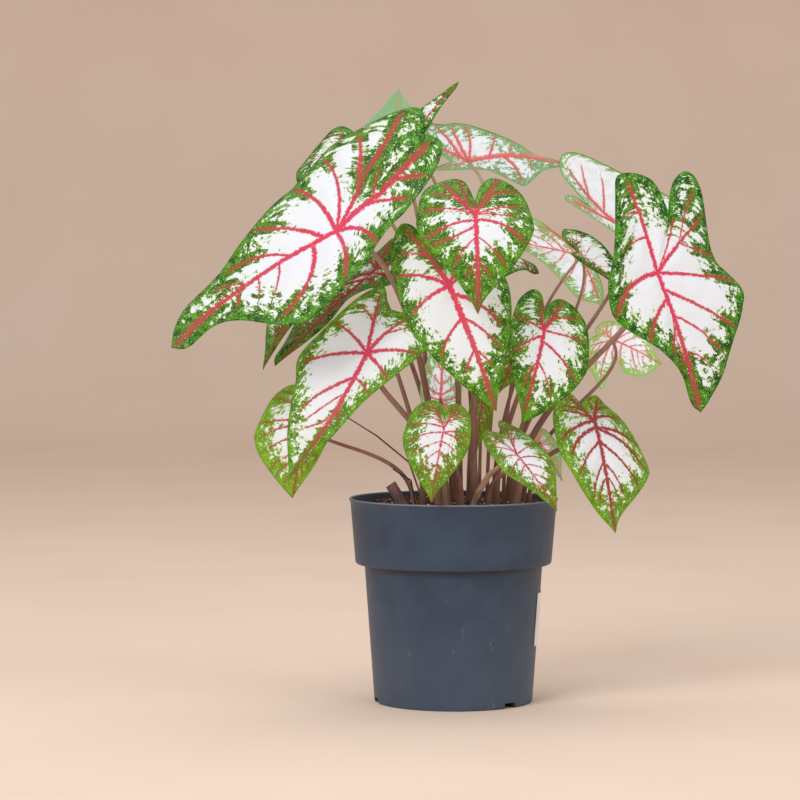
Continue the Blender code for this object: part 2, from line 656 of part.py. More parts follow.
def make_petiole(leaf, collection, holes, finish):
    points, rise = petiole_path(leaf)
    thick, thin = leaf.stem
    last = len(points) - 1
    radii = [thick] * 2
    for number in range(2, last + 1):
        radii.append(thick + (thin - thick) * ((number - 1) / (last - 1)) ** 0.8)
    surface_point = points[0] + rise * ROOT_DEPTH
    stem_hole(f"hole_{leaf.name}", surface_point, rise, thick, holes)
    return tube(f"petiole_{leaf.name}", points, radii, collection, finish)


def make_crown_growth(row, collection, holes, finish):
    name, points, radii = row
    points = [Vector(point) for point in points]
    rise = (points[1] - points[0]).normalized()
    surface_point = points[0] + rise * ROOT_DEPTH
    stem_hole(f"hole_{name}", surface_point, rise, max(radii[:2]), holes)
    return tube(name, points, radii, collection, finish)


def main():
    clear_scene()
    plant = new_collection("potted_caladium")
    pot_cutters = new_collection("pot_cutters")
    stem_holes = new_collection("stem_holes")
    pot_finish = material("pot_plastic", (0.055, 0.075, 0.1), 0.5)
    label_finish = material("label_paper", (0.85, 0.85, 0.83), 0.6)
    soil_finish = material("potting_mix", (0.12, 0.06, 0.035), 0.95)
    blade_finish = material("blade_variegated", (0.62, 0.75, 0.55), 0.5)
    petiole_finish = material("petiole_mauve", (0.2, 0.09, 0.07), 0.5)
    husk_finish = material("dry_husk", (0.24, 0.13, 0.075), 0.8)
    make_pot(plant, pot_cutters, pot_finish)
    make_label(plant, label_finish)
    for leaf in LEAVES:
        make_blade(leaf, plant, blade_finish)
        make_petiole(leaf, plant, stem_holes, petiole_finish)
    for row in CROWN_GROWTH:
        make_crown_growth(row, plant, stem_holes, husk_finish)
    make_soil(plant, stem_holes, soil_finish)


main()
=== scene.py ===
"""Potted caladium, dressed: veined and splashed blades, ribbed undersides, streaked petioles, potting mix and pot."""

import math
import random

import bmesh
import bpy
import numpy as np
from mathutils import Matrix, Vector, noise


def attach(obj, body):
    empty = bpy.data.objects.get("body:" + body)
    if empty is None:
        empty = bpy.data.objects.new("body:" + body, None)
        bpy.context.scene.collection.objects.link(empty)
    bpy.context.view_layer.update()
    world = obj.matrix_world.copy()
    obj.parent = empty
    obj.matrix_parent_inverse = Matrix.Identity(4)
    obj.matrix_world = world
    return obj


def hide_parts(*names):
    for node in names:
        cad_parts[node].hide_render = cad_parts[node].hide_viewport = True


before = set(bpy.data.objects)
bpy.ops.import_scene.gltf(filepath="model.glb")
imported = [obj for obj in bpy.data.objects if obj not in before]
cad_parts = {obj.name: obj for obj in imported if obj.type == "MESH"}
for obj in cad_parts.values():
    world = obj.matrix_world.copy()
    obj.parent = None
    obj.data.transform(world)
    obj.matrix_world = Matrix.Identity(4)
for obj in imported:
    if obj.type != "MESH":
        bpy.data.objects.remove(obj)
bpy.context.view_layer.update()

MM = 0.001
FAR = 1e9
COLLECTION = bpy.context.scene.collection

# Pot, in millimetres, as the frame has it
RIM_RADIUS = 105.0
POT_HEIGHT = 205.0
LIP_RADIUS = 1.4
COLLAR_TOP_RADIUS = 104.0
COLLAR_FOOT_RADIUS = 98.5
COLLAR_FOOT = 139.0
COLLAR_ROUNDING = 2.4
BODY_TOP_RADIUS = 89.5
FOOT_RADIUS = 79.5
FOOT_ROUNDING = 1.8
POT_WALL = 2.0
FLOOR_UNDERSIDE = 7.0
FLOOR_THICKNESS = 2.5
FOOT_RING_WIDTH = 3.0
CENTRE_FOOT_RADIUS = 14.0
NOTCH_ANGLES = (-75.0, 45.0, 165.0)
NOTCH_WIDTH = 18.0
NOTCH_HEIGHT = 5.5
DRAIN_RING_RADIUS = 48.0
DRAIN_RADIUS = 6.0
DRAIN_COUNT = 6

# Potting mix
SOIL_TOP = 196.0
SOIL_CROWN = 3.0
SOIL_EDGE_CLEARANCE = 0.6
SOIL_COLUMNS = 120
SOIL_RINGS = 44
SOIL_ROUGHNESS = ((0.05, 3.0, 2.4), (0.16, 9.0, 1.8), (0.45, 5.0, 1.0))
SCATTER_MARGIN = 3.0
CHIP_COUNT = 2600
PERLITE_COUNT = 150

# Petioles and blades
ROOT_DEPTH = 14.0
STRAIGHT_ABOVE_SOIL = 14.0
NECK = 5.0
TOP_GAP = 0.6
FOOT_LEAN = 0.18
FOOT_HANDLE = 0.4
TOP_HANDLE = 0.25
STALK_POINTS = 30
STALK_TAPER = 0.8
FOOT_FLARE = 0.3
FOOT_FLARE_HEIGHT = 14.0
TOP_FLARE = 0.25
TOP_FLARE_POINTS = 4
BLADE_THICKNESS = 0.7
LOBE_LIFT = 4.0
LOBE_TURN_LIMIT = 1.2
FORWARD_MARGIN = ((0.88, 0.104), (0.7, 0.344), (0.45, 0.69), (0.2, 0.935))
BACKWARD_MARGIN = ((0.6, 0.82), (0.88, 0.45))

# A leaf's form, and the form of each of its halves, where its row doesn't say otherwise
USUAL_FORM = {
    "skew": 0.0, "arch": 6.0, "nape": 12.0, "fold": 0.12, "curl": 0.18, "wave": 3.0, "waves": 5, "phase": 0.0,
    "twist": 0.0, "close": 0.0, "via": None,
}
USUAL_HALF = {"full": 1.0, "waist": 1.0, "forward": FORWARD_MARGIN, "backward": BACKWARD_MARGIN, "inner": 0.4}

# The blades' grid, and how their surface swells and wavers
COLUMNS_PER_MM = 0.36
RINGS_PER_MM = 0.3
LEAST_RINGS = 10
RING_CROWDING = 1.12
SWELL = 1.1
SWELL_REACH = 5.0
UNEVENNESS = 0.9
UNEVEN_SCALE = 0.06

# Flow: a second place for each point of a blade, which runs out from the hub and turns with the angle
FLOW_SCALE = 0.65
FLOW_FAN = 34.0

# Veins
VEIN_POINTS = 16
VEIN_TAPER = 1.6
VEIN_LEAST_WIDTH = 0.9
VEIN_WIDTH_PER_MM = 0.0098
RIB_LEAST_THICKNESS = 0.5
RIB_SHARE = 0.42
RIB_LEAST_RADIUS = 0.22
RIB_GAP = 0.05


# Leaves, as the frame has them


class Leaf:
    """One leaf. hub and tip are the two ends of its midrib, and facing is its upper side's azimuth and elevation.

    A side is (half width, how far ahead of the hub that is, reach behind the hub, offset of the lobe's end).
    A sinus is (how far behind the hub, offset).
    root is where the petiole leaves the mix, and stem holds its radii at the foot and at the top.
    """

    def __init__(self, name, hub, tip, facing, left, right, sinus, root, stem, **form):
        self.name = name
        self.hub = Vector(hub)
        self.tip = Vector(tip)
        self.left = left
        self.right = right
        self.sinus = sinus
        self.root = root
        self.stem = stem
        for key, usual in USUAL_FORM.items():
            setattr(self, key, form.get(key, usual))
        for key, usual in USUAL_HALF.items():
            setattr(self, key, {-1: form.get("left_" + key, usual), 1: form.get("right_" + key, usual)})
        self.length = (self.tip - self.hub).length
        azimuth, elevation = (math.radians(angle) for angle in facing)
        self.along = (self.tip - self.hub).normalized()
        outward = Vector((
            math.cos(elevation) * math.sin(azimuth),
            -math.cos(elevation) * math.cos(azimuth),
            math.sin(elevation),
        ))
        self.normal = (outward - self.along * outward.dot(self.along)).normalized()
        self.across = self.normal.cross(self.along)
        self.outline = {-1: self.half_outline(left, -1), 1: self.half_outline(right, 1)}

    def half_outline(self, side, sign):
        """One half of the outline in the blade's flat plane, from the tip to the bottom of the sinus."""
        width, ahead, back, out = side
        points = [(self.length, 0.0)]
        for share, narrowed in self.forward[sign]:
            kept = narrowed ** (1.0 / self.full[sign])
            points.append((ahead + (self.length - ahead) * share, sign * width * kept))
        points.append((ahead, sign * width))
        for share, narrowed in self.backward[sign]:
            kept = narrowed ** self.waist[sign]
            points.append((ahead - (ahead + back) * share, sign * (out + (width - out) * kept)))
        points.append((-back, sign * out))
        depth, offset = self.sinus
        points.append((-(0.75 * back + 0.25 * depth), offset + (sign * out - offset) * self.inner[sign]))
        points.append((-depth, offset))
        return np.array(points)


LEAVES = (
    Leaf("01", (-114, -95, 470), (-271, -130, 358), (-30, 35),
         (92, 10, 137, 70), (77, 63, 128, 60), (62, -16), (-14, -34), (4.2, 2.2),
         left_forward=((0.91, 0.18), (0.78, 0.4), (0.54, 0.52), (0.33, 0.68)),
         right_forward=((0.9, 0.13), (0.7, 0.18), (0.5, 0.39), (0.25, 0.86)),
         left_backward=((0.4, 1.45), (0.88, 1.05)), right_backward=((0.5, -0.1), (0.92, 0.76)),
         left_inner=0.37, skew=-0.45, close=16, arch=3, nape=0, fold=0.06, curl=0.1,
         wave=4, waves=6, phase=3.1, via=(-50, -60, 465)),
    Leaf("02", (-101, -22, 498), (-186, -38, 333), (-40, 30),
         (62, -20, 70, 36), (50, 0, 66, 30), (40, 0), (-20, -8), (3, 1.6),
         left_forward=((0.92, 0.2), (0.8, 0.5), (0.6, 0.72), (0.3, 0.92)),
         right_forward=((0.92, 0.06), (0.74, 0.12), (0.5, 0.4), (0.2, 0.9)),
         wave=5, waves=4, phase=1.0, via=(-30, 50, 510)),
    Leaf("03", (-50, 72, 545), (-57, 98, 622), (178, 0),
         (42, 36, 36, 16), (24, 20, 30, 12), (18, 0), (2, 34), (3, 1.5),
         left_forward=((0.85, 0.16), (0.55, 0.48), (0.37, 0.74), (0.17, 0.93)),
         right_forward=((0.85, 0.16), (0.62, 0.54), (0.48, 0.72), (0.2, 0.93)),
         arch=3, wave=2, phase=0.6),
    Leaf("04", (-82, 0, 430), (-176, -34, 336), (-42, 54),
         (44, 50, 46, 24), (38, 2, 46, 18), (25, 0), (-30, -24), (3, 1.6),
         right_forward=((0.78, 0.12), (0.5, 0.3), (0.3, 0.28), (0.12, 0.68)),
         left_full=1.9, arch=3, nape=4, wave=3, phase=2.0),
    Leaf("05", (-84, -94, 352), (-158, -122, 231), (-25, 18),
         (66, 34, 69, 34), (49, -22, 55, 18), (50, -8), (-6, -50), (4, 2.2),
         left_forward=((0.88, 0.17), (0.7, 0.36), (0.43, 0.58), (0.2, 0.8)),
         right_forward=((0.88, 0.15), (0.7, 0.3), (0.45, 0.52), (0.2, 0.84)),
         left_backward=((0.35, 0.7), (0.8, 0.38)), right_backward=((0.5, 0.93), (0.85, 0.55)),
         left_inner=0.5, right_inner=0.5, arch=4, nape=2, fold=0.08, curl=0.12, wave=3.5, waves=6, phase=0.5),
    Leaf("06", (-142, -64, 284), (-157, -72, 209), (-15, 20),
         (54, 16, 34, 26), (25, 10, 30, 14), (14, 0), (-38, -44), (2.4, 1.5),
         left_full=1.4, wave=2.5, phase=1.5),
    Leaf("07", (21, -112, 486), (23, -166, 391), (5, 32),
         (57, 6, 49, 20), (56, 8, 49, 18), (18, 0), (20, -40), (3.8, 2),
         arch=7, wave=2.5, waves=6, via=(22, -44, 446)),
    Leaf("08", (-4, -106, 417), (41, -134, 297), (0, 18),
         (50, 12, 76, 20), (54, 10, 38, 30), (26, 0), (6, -24), (3.8, 2),
         left_full=1.3, right_full=1.1, arch=4, nape=4, wave=3, phase=0.8),
    Leaf("09", (39, 4, 442), (86, 14, 430), (20, 55),
         (26, 5, 26, 10), (26, 5, 26, 10), (12, 0), (34, 2), (2, 1.2)),
    Leaf("10", (88, -84, 374), (65, -114, 285), (15, 20),
         (34, 8, 41, 17), (51, 18, 39, 12), (22, -3), (42, -38), (3.4, 1.8),
         right_full=1.5, wave=2.5, phase=2.2),
    Leaf("11", (200, -55, 430), (240, -85, 294), (25, 12),
         (62, 25, 110, 42), (90, 27, 101, 36), (60, 12), (60, -18), (4, 2.2),
         left_forward=((0.9, 0.08), (0.66, 0.16), (0.42, 0.47), (0.2, 0.84)),
         right_forward=((0.9, 0.15), (0.72, 0.42), (0.45, 0.67), (0.2, 0.89)),
         left_backward=((0.35, 0.55), (0.8, 0.32)), right_backward=((0.33, 0.55), (0.82, 0.3)),
         left_inner=0.4, right_inner=0.36, skew=0.4, arch=4, nape=4, fold=0.08, curl=0.12,
         wave=4, waves=6, phase=0.4),
    Leaf("12", (171, 84, 480), (264, 112, 442), (160, 40),
         (72, -5, 106, 32), (15, 5, 70, 15), (42, 5), (56, 20), (3.2, 1.5),
         left_backward=((0.6, 0.68), (0.88, 0.38)), skew=-0.4, arch=3, nape=0, fold=0.06, curl=0.1),
    Leaf("13", (15, 60, 545), (129, 90, 537), (175, 35),
         (48, -15, 56, 50), (33, 68, 36, 9), (20, 0), (16, 16), (3, 1.5),
         left_forward=((0.88, 0.14), (0.75, 0.2), (0.62, 0.22), (0.4, 0.54)),
         right_forward=((0.85, 0.07), (0.6, 0.13), (0.3, 0.27), (0.16, 0.62)),
         right_backward=((0.17, 0.73), (0.44, 0.22)), wave=3, waves=4, twist=15),
    Leaf("14", (-47, -8, 551), (5, 22, 623), (-40, 25),
         (7, 30, 20, 6), (28, 40, 20, 8), (12, 0), (-2, 10), (2.6, 1.5),
         right_forward=((0.85, 0.09), (0.7, 0.22), (0.45, 0.53), (0.22, 0.78)), left_full=2,
         arch=3, wave=1),
    Leaf("15", (130, 70, 449), (47, 60, 466), (170, 40),
         (50, -10, 38, 54), (32, 56, 12, 4), (9, -1), (40, 16), (2.6, 1.3),
         left_forward=((0.88, 0.09), (0.68, 0.25), (0.43, 0.52), (0.2, 0.78)),
         right_backward=((0.35, 0.57), (0.75, 0.2)), left_inner=0.5, arch=3, wave=2),
    Leaf("16", (129, 8, 448), (178, -4, 406), (25, 15),
         (8, 12, 10, 5), (29, -12, 36, 20), (8, 1), (54, 2), (2.4, 1.3),
         right_inner=0.36, left_full=1.5, wave=1),
    Leaf("17", (162, 40, 363), (213, 56, 338), (160, 30),
         (26, 8, 25, 10), (61, 25, 21, 16), (17, 0), (70, 4), (2.6, 1.5),
         right_forward=((0.97, 0.25), (0.8, 0.44), (0.26, 0.53), (-0.14, 0.43)),
         right_backward=((0.34, 0.78), (0.66, 0.51)), arch=3, wave=2),
    Leaf("18", (139, -45, 284), (157, -75, 175), (35, 15),
         (50, 28, 30, 24), (54, 46, 27, 10), (18, -8), (62, -40), (3.4, 1.8),
         left_full=1.2, right_full=0.8, right_waist=1.8, wave=3, phase=1.2),
    Leaf("19", (-9, -100, 280), (-21, -120, 209), (0, 15),
         (38, 12, 27, 15), (27, 8, 27, 10), (20, -3), (8, -62), (2.8, 1.5),
         left_full=1.2, wave=1.5, arch=4),
    Leaf("20", (62, -90, 253), (100, -115, 200), (20, 30),
         (23, 8, 42, 7), (28, 14, 46, 17), (30, 5), (34, -58), (2.8, 1.5),
         wave=1.5, arch=4),
    Leaf("21", (87, -2, 260), (109, -10, 222), (170, 30),
         (16, 5, 14, 6), (16, 5, 14, 6), (7, 0), (76, -18), (2, 1.2),
         wave=1, arch=2),
    Leaf("22", (-13, -20, 304), (-9, -44, 379), (180, 30),
         (21, 12, 18, 8), (21, 12, 18, 8), (10, 0), (-8, -4), (2.4, 1.4),
         wave=1, arch=3),
    Leaf("23", (29, -10, 309), (23, -18, 252), (0, 20),
         (12, 20, 14, 5), (12, 20, 14, 5), (7, 0), (26, -4), (2, 1.2),
         wave=1, arch=2),
    Leaf("24", (66, -40, 359), (45, -54, 312), (10, 25),
         (20, 10, 20, 8), (20, 10, 20, 8), (10, 0), (50, -12), (2, 1.2),
         wave=1, arch=2),
    Leaf("25", (-121, 43, 544), (-145, 26, 488), (-30, 25),
         (40, 6, 50, 28), (34, 6, 34, 14), (24, 0), (-14, 34), (3, 1.6),
         wave=4),
    Leaf("26", (8, 120, 462), (12, 175, 368), (175, 35),
         (46, 10, 48, 18), (46, 10, 48, 18), (24, 0), (22, 38), (3.2, 1.8),
         wave=4, phase=2.0),
)

# How each leaf is coloured: green's reach, youth's yellow-green, how dark red the veins are, their width, and
# how many flecks hug them
LOOKS = {
    "01": (0.54, 0.12, 0.1, 1.1, 1.3),
    "02": (0.45, 0.15, 0.3, 1, 0.4),
    "03": (9, 0, 0, 0.08, 0),
    "04": (0.95, 0, 0.9, 1, 0.8),
    "05": (0.28, 0.45, 0.05, 1.1, 0.6),
    "06": (0.48, 0.75, 0.2, 0.9, 0.4),
    "07": (0.42, 0.25, 0.08, 1.1, 1.5),
    "08": (0.26, 0.25, 0, 1.2, 0.9),
    "09": (0.16, 0, 0.1, 0.4, 0.3),
    "10": (0.38, 0.25, 0.2, 0.95, 0.9),
    "11": (0.38, 0.05, 0.1, 1, 1.1),
    "12": (0.14, 0.35, 0.05, 1.1, 0.3),
    "13": (0.35, 0.15, 0.4, 1, 0.4),
    "14": (0.08, 0.05, 0, 0.7, 0.4),
    "15": (0.22, 0.6, 0.3, 0.7, 0.4),
    "16": (0.1, 0, 0.1, 0.15, 0.2),
    "17": (0.24, 0.95, 0.1, 0.8, 0.3),
    "18": (0.42, 0.6, 0.85, 1.2, 0.4),
    "19": (0.26, 0.5, 0.25, 0.6, 0.7),
    "20": (0.15, 0.5, 0.45, 0.6, 0.6),
    "21": (0.6, 0.6, 0.3, 0.6, 0.4),
    "22": (0.35, 0.4, 0.4, 0.8, 0.4),
    "23": (0.5, 0.7, 0.3, 0.6, 0.4),
    "24": (0.9, 0.4, 0.8, 0.7, 0.4),
    "25": (0.4, 0.05, 0, 0.3, 0.3),
    "26": (0.5, 0.1, 0.3, 1, 0.4),
}


def catmull_rom(before, start, end, after, share):
    """A point of the smooth curve from start to end."""
    square = share * share
    cube = square * share
    return 0.5 * (
        2.0 * start
        + (end - before) * share
        + (2.0 * before - 5.0 * start + 4.0 * end - after) * square
        + (3.0 * start - before - 3.0 * end + after) * cube
    )


def margin(leaf, step):
    """A point of the outline. step runs from -10 at the sinus, by the left side, to 0 at the tip and on to 10."""
    sign = 1 if step >= 0 else -1
    points = leaf.outline[sign]
    first = min(int(abs(step)), len(points) - 2)
    before = 2.0 * points[0] - points[1] if first == 0 else points[first - 1]
    after = points[first + 2] if first + 2 < len(points) else 2.0 * points[-1] - points[-2]
    return catmull_rom(before, points[first], points[first + 1], after, abs(step) - first)


def bend(leaf, ahead, aside, ripple):
    """Where flat points lie once the blade is arched, folded along its midrib, curled and rippled."""
    along = ahead / leaf.length
    lift = 4.0 * leaf.arch * along * (1.0 - np.maximum(along, 0.0))
    lift = lift - leaf.nape * np.minimum(along, 0.0) ** 2
    spread = np.abs(aside)
    half = (leaf.left[0] + leaf.right[0]) / 2.0
    lift = lift + leaf.fold * spread - leaf.curl * spread * spread / half + ripple
    turned_by = math.radians(leaf.twist) * along
    sideways = aside * np.cos(turned_by) - lift * np.sin(turned_by)
    upwards = aside * np.sin(turned_by) + lift * np.cos(turned_by)
    return (
        np.array(leaf.hub)
        + np.outer(ahead, np.array(leaf.along))
        + np.outer(sideways, np.array(leaf.across))
        + np.outer(upwards, np.array(leaf.normal))
    )


def on_blade(leaf, flat, step, share, raised=0.0):
    """The places of flat points of a blade. step and share say where each is between the hub and the outline."""
    ahead, aside = flat[:, 0], flat[:, 1]
    ripple = leaf.wave * share**3 * np.sin(0.1 * math.pi * leaf.waves * step + leaf.phase) + raised
    behind = np.maximum(-ahead, 0.0)
    if leaf.close:
        depth = leaf.sinus[0]
        beyond = np.minimum(np.maximum(behind - depth, 0.0) / depth, LOBE_TURN_LIMIT)
        sign = np.where(step >= 0, 1.0, -1.0)
        turn = sign * math.radians(leaf.close) * beyond
        ahead, aside = (
            ahead * np.cos(turn) - aside * np.sin(turn),
            ahead * np.sin(turn) + aside * np.cos(turn),
        )
        ripple = ripple + sign * LOBE_LIFT * np.sqrt(beyond)
    return bend(leaf, ahead, aside + leaf.skew * behind, ripple)


class Locator:
    """Finds step and share of any flat point of a blade, whose outline is a star round its hub."""

    def __init__(self, leaf):
        steps = np.linspace(-10.0, 10.0, 601)
        outline = np.array([margin(leaf, step) for step in steps])
        self.steps = steps
        self.outline = outline
        self.angles = np.unwrap(np.arctan2(outline[:, 1], outline[:, 0]))
        self.reach = np.hypot(outline[:, 0], outline[:, 1])

    def find(self, flat):
        angle = np.arctan2(flat[:, 1], flat[:, 0])
        low = self.angles[0]
        angle = low + np.mod(angle - low, 2.0 * math.pi)
        step = np.interp(angle, self.angles, self.steps)
        share = np.hypot(flat[:, 0], flat[:, 1]) / np.interp(angle, self.angles, self.reach)
        return step, np.minimum(share, 1.0)

    def rim_distance(self, flat):
        """Distance from flat points to the outline."""
        best = np.full(len(flat), FAR)
        for start in range(0, len(self.outline), 3):
            gap = flat - self.outline[start]
            best = np.minimum(best, np.hypot(gap[:, 0], gap[:, 1]))
        return best


# Veins


def bow(start, end, sag, points):
    """A flat curve from start to end that bows to its left by a share of its length."""
    start, end = np.array(start), np.array(end)
    side = np.array((-(end - start)[1], (end - start)[0]))
    share = np.linspace(0.0, 1.0, points)
    hump = (share * (1.0 - share)) * 4.0 * sag
    return start + np.outer(share, end - start) + np.outer(hump, side)


class Vein:
    """A flat curve with its half widths. The thicker ones also stand out as ribs."""

    def __init__(self, path, wide, thick):
        self.path = path
        self.along = np.linspace(0.0, 1.0, len(path))
        self.half_widths = wide * (1.0 - 0.5 * self.along**VEIN_TAPER)
        self.rib = thick >= RIB_LEAST_THICKNESS

    def measure(self, points):
        """For each point, its distance from the vein, the side it lies on, and the vein's half width beside it."""
        start, end = self.path[:-1], self.path[1:]
        run = end - start
        gap = points[:, None, :] - start[None]
        share = np.clip((gap * run).sum(2) / (run * run).sum(1), 0.0, 1.0)
        off = gap - run * share[..., None]
        distance = np.hypot(off[..., 0], off[..., 1])
        nearest = distance.argmin(1)
        row = np.arange(len(points))
        side = np.sign(run[nearest, 0] * gap[row, nearest, 1] - run[nearest, 1] * gap[row, nearest, 0])
        along = (nearest + share[row, nearest]) / len(run)
        return distance[row, nearest], side, np.interp(along, self.along, self.half_widths)


# Veins of the leaves that are seen best. A row holds the step and reach of the vein's end, its bow and its
# thickness beside the midrib's. One that doesn't spring from the hub has two more values first: the row of the vein
# that it springs from, and at what share of that vein's length.
VEINS = {
    "01": (
        (0, 0.96, -0.04, 1), (-7.25, 0.92, -0.13, 0.95), (8.1, 0.92, 0.08, 1.15), (-5.2, 0.94, -0.08, 0.8),
        (0, 0.05, -4.2, 0.93, -0.08, 0.85), (-6.1, 0.82, -0.12, 0.7), (1, 0.36, -6.7, 0.8, -0.06, 0.7),
        (2, 0.3, 6.8, 0.7, 0.1, 0.6), (2, 0.63, 7.2, 0.78, 0.05, 0.55), (2, 0.42, 9.4, 0.8, 0.15, 0.4),
        (5.9, 0.9, 0.15, 0.85), (0, 0.03, 5.4, 0.85, 0.08, 0.7), (0, 0.15, 3.8, 0.88, 0.14, 0.75),
        (0, 0.33, 3.2, 0.7, 0.04, 0.4), (0, 0.48, 2.6, 0.7, 0.03, 0.35), (0, 0.3, -2.8, 0.88, -0.14, 0.6),
        (0, 0.52, -1.9, 0.8, -0.08, 0.45), (0, 0.62, 1.8, 0.75, 0.06, 0.35), (1, 0.62, -8.7, 0.75, -0.06, 0.4),
        (0, 0.75, -1.1, 0.7, -0.05, 0.3),
    ),
    "05": (
        (0.2, 0.97, 0.04, 1), (-8.2, 0.82, 0, 0.85), (8.15, 0.9, 0.06, 0.95), (-4.8, 0.85, -0.04, 0.8),
        (-6.3, 0.85, -0.05, 0.65), (5.1, 0.9, 0.06, 0.8), (0, 0.02, 3.9, 0.88, 0.03, 0.75),
        (0, 0.2, -2.6, 0.82, -0.06, 0.75), (0, 0.19, 3.3, 0.85, 0.06, 0.55), (1, 0.5, -7.1, 0.77, -0.07, 0.5),
        (2, 0.5, 7.2, 0.85, 0, 0.45), (0, 0.5, -1.5, 0.76, 0.03, 0.5), (0, 0.36, -1.9, 0.75, -0.03, 0.45),
        (0, 0.42, 2.1, 0.8, 0.06, 0.5), (0, 0.6, 1.5, 0.75, 0.05, 0.4),
    ),
    "07": (
        (0, 0.95, 0, 1.15), (-7.3, 0.9, 0.02, 1), (7.6, 0.94, 0, 0.95), (1, 0.25, -8.35, 0.9, -0.05, 0.5),
        (-5.3, 0.87, -0.1, 0.55), (0, 0.05, -3.8, 0.93, -0.07, 0.7), (0, 0.1, -3.4, 0.9, 0.05, 0.6),
        (5.65, 0.78, 0.06, 0.5), (5.2, 0.65, 0.03, 0.35), (0, 0.07, 3.75, 0.87, 0.13, 0.85),
        (2, 0.45, 6.5, 0.9, 0.09, 0.4), (1, 0.4, -6.3, 0.8, -0.05, 0.35), (10, 0.85, 0, 0.55),
        (0, 0.3, -2.3, 0.85, -0.05, 0.35), (0, 0.28, 2.5, 0.85, 0.06, 0.35), (0, 0.5, -1.5, 0.8, -0.04, 0.3),
        (0, 0.5, 1.6, 0.8, 0.04, 0.3),
    ),
    "08": (
        (0, 0.97, 0.01, 1.15), (-7.85, 0.88, -0.03, 1), (-5.8, 0.86, -0.08, 0.8), (0, 0.03, -4.9, 0.84, -0.07, 0.75),
        (0, 0.07, 3.1, 0.8, 0.09, 0.8), (5.8, 0.8, 0.07, 0.75), (7.9, 0.85, 0, 0.85), (1, 0.5, -6.6, 0.8, -0.05, 0.5),
        (0, 0.25, -2.8, 0.85, -0.07, 0.6), (0, 0.3, 2.4, 0.85, 0.06, 0.55), (0, 0.5, -1.6, 0.8, -0.05, 0.5),
        (0, 0.52, 1.5, 0.8, 0.05, 0.45),
    ),
    "10": (
        (-0.3, 0.9, 0.01, 1.1), (-8.7, 0.75, 0.05, 0.85), (7.85, 0.9, 0.01, 0.95), (2, 0.4, 6.6, 0.84, 0.03, 0.55),
        (-5.5, 0.9, -0.03, 0.65), (0, 0.09, -3.55, 0.84, -0.05, 0.75), (5.6, 0.8, 0, 0.65),
        (0, 0.13, 3.4, 0.84, 0.06, 0.8), (0, 0.4, -1.8, 0.8, -0.05, 0.5), (0, 0.42, 1.9, 0.8, 0.05, 0.5),
    ),
    "11": (
        (0, 0.95, 0.01, 1.05), (-8.2, 0.88, -0.01, 0.9), (6.6, 0.86, 0.03, 1), (8, 0.5, -0.03, 0.55),
        (1, 0.38, -6.5, 0.62, -0.07, 0.6), (1, 0.66, -7.2, 0.72, -0.13, 0.5), (-4.65, 0.92, -0.15, 1),
        (5.15, 0.93, 0.01, 0.8), (0, 0.16, 3.3, 0.92, 0.02, 0.8), (0, 0.17, -3.25, 0.95, -0.06, 0.85),
        (0, 0.36, -0.3, 0.6, -0.09, 0.35), (2, 0.5, 7.3, 0.85, 0.04, 0.4), (2, 0.5, 5.9, 0.95, -0.02, 0.4),
        (0, 0.36, 2.4, 0.85, 0.06, 0.6), (0, 0.38, -2.2, 0.85, -0.06, 0.6), (0, 0.58, 1.6, 0.8, 0.05, 0.4),
        (0, 0.6, -1.5, 0.8, -0.05, 0.4),
    ),
    "12": (
        (0, 0.95, 0, 0.9), (-8.3, 0.85, -0.07, 1.05), (1, 0.24, -6.3, 0.7, 0.03, 0.65),
        (1, 0.56, -7.3, 0.8, -0.02, 0.6), (7.95, 0.86, 0.01, 0.85), (0, 0.1, -4.5, 0.9, -0.08, 0.75),
        (0, 0.35, -2.8, 0.9, -0.08, 0.55), (0, 0.12, 4, 0.85, 0.05, 0.5), (0, 0.4, 2.5, 0.85, 0.05, 0.4),
    ),
    "13": (
        (-0.6, 0.97, -0.05, 1.4), (-8.9, 0.8, 0.01, 1), (-5.6, 0.88, -0.01, 0.85), (-5, 0.9, 0.08, 0.75),
        (1, 0.27, -6.9, 0.92, 0.03, 0.85), (0, 0.22, -4.3, 0.9, 0.06, 0.6), (0, 0.37, -3.8, 0.95, 0.01, 0.45),
        (0, 0.36, 4.55, 0.88, -0.09, 0.85), (0, 0.6, 3, 0.85, -0.05, 0.4), (0, 0.65, -2.2, 0.85, 0.05, 0.4),
        (8, 0.85, 0, 0.5),
    ),
    "14": (
        (-0.4, 0.94, 0.03, 0.9), (0, 0.25, 2.6, 0.7, 0.05, 0.25), (0, 0.45, 1.8, 0.7, 0.05, 0.25),
    ),
}

MIDRIB_BRANCHES = (
    (0.0, 5.3, 0.75), (0.06, 4.2, 0.8), (0.18, 3.2, 0.6), (0.36, 2.3, 0.5), (0.52, 1.6, 0.4), (0.68, 1.1, 0.3),
)
LOBE_BRANCHES = ((0.12, 6.2, 0.6), (0.4, 6.8, 0.5), (0.66, 7.3, 0.4), (0.45, 8.9, 0.35))


def usual_veins(draw):
    """Rows for a leaf that has none of its own."""
    rows = [(draw.uniform(-0.2, 0.2), 0.96, draw.uniform(-0.02, 0.02), 1.0)]
    for sign in (-1, 1):
        lobe = len(rows)
        rows.append((sign * draw.uniform(7.6, 8.1), 0.88, sign * draw.uniform(0.0, 0.06), 0.9))
        for parent, branches in ((0, MIDRIB_BRANCHES), (lobe, LOBE_BRANCHES)):
            for place, step, thick in branches:
                end = sign * (step + draw.uniform(-0.2, 0.2))
                start = place + draw.uniform(0.0, 0.04)
                rows.append((parent, start, end, draw.uniform(0.8, 0.93), sign * draw.uniform(0.03, 0.11), thick))
    return rows


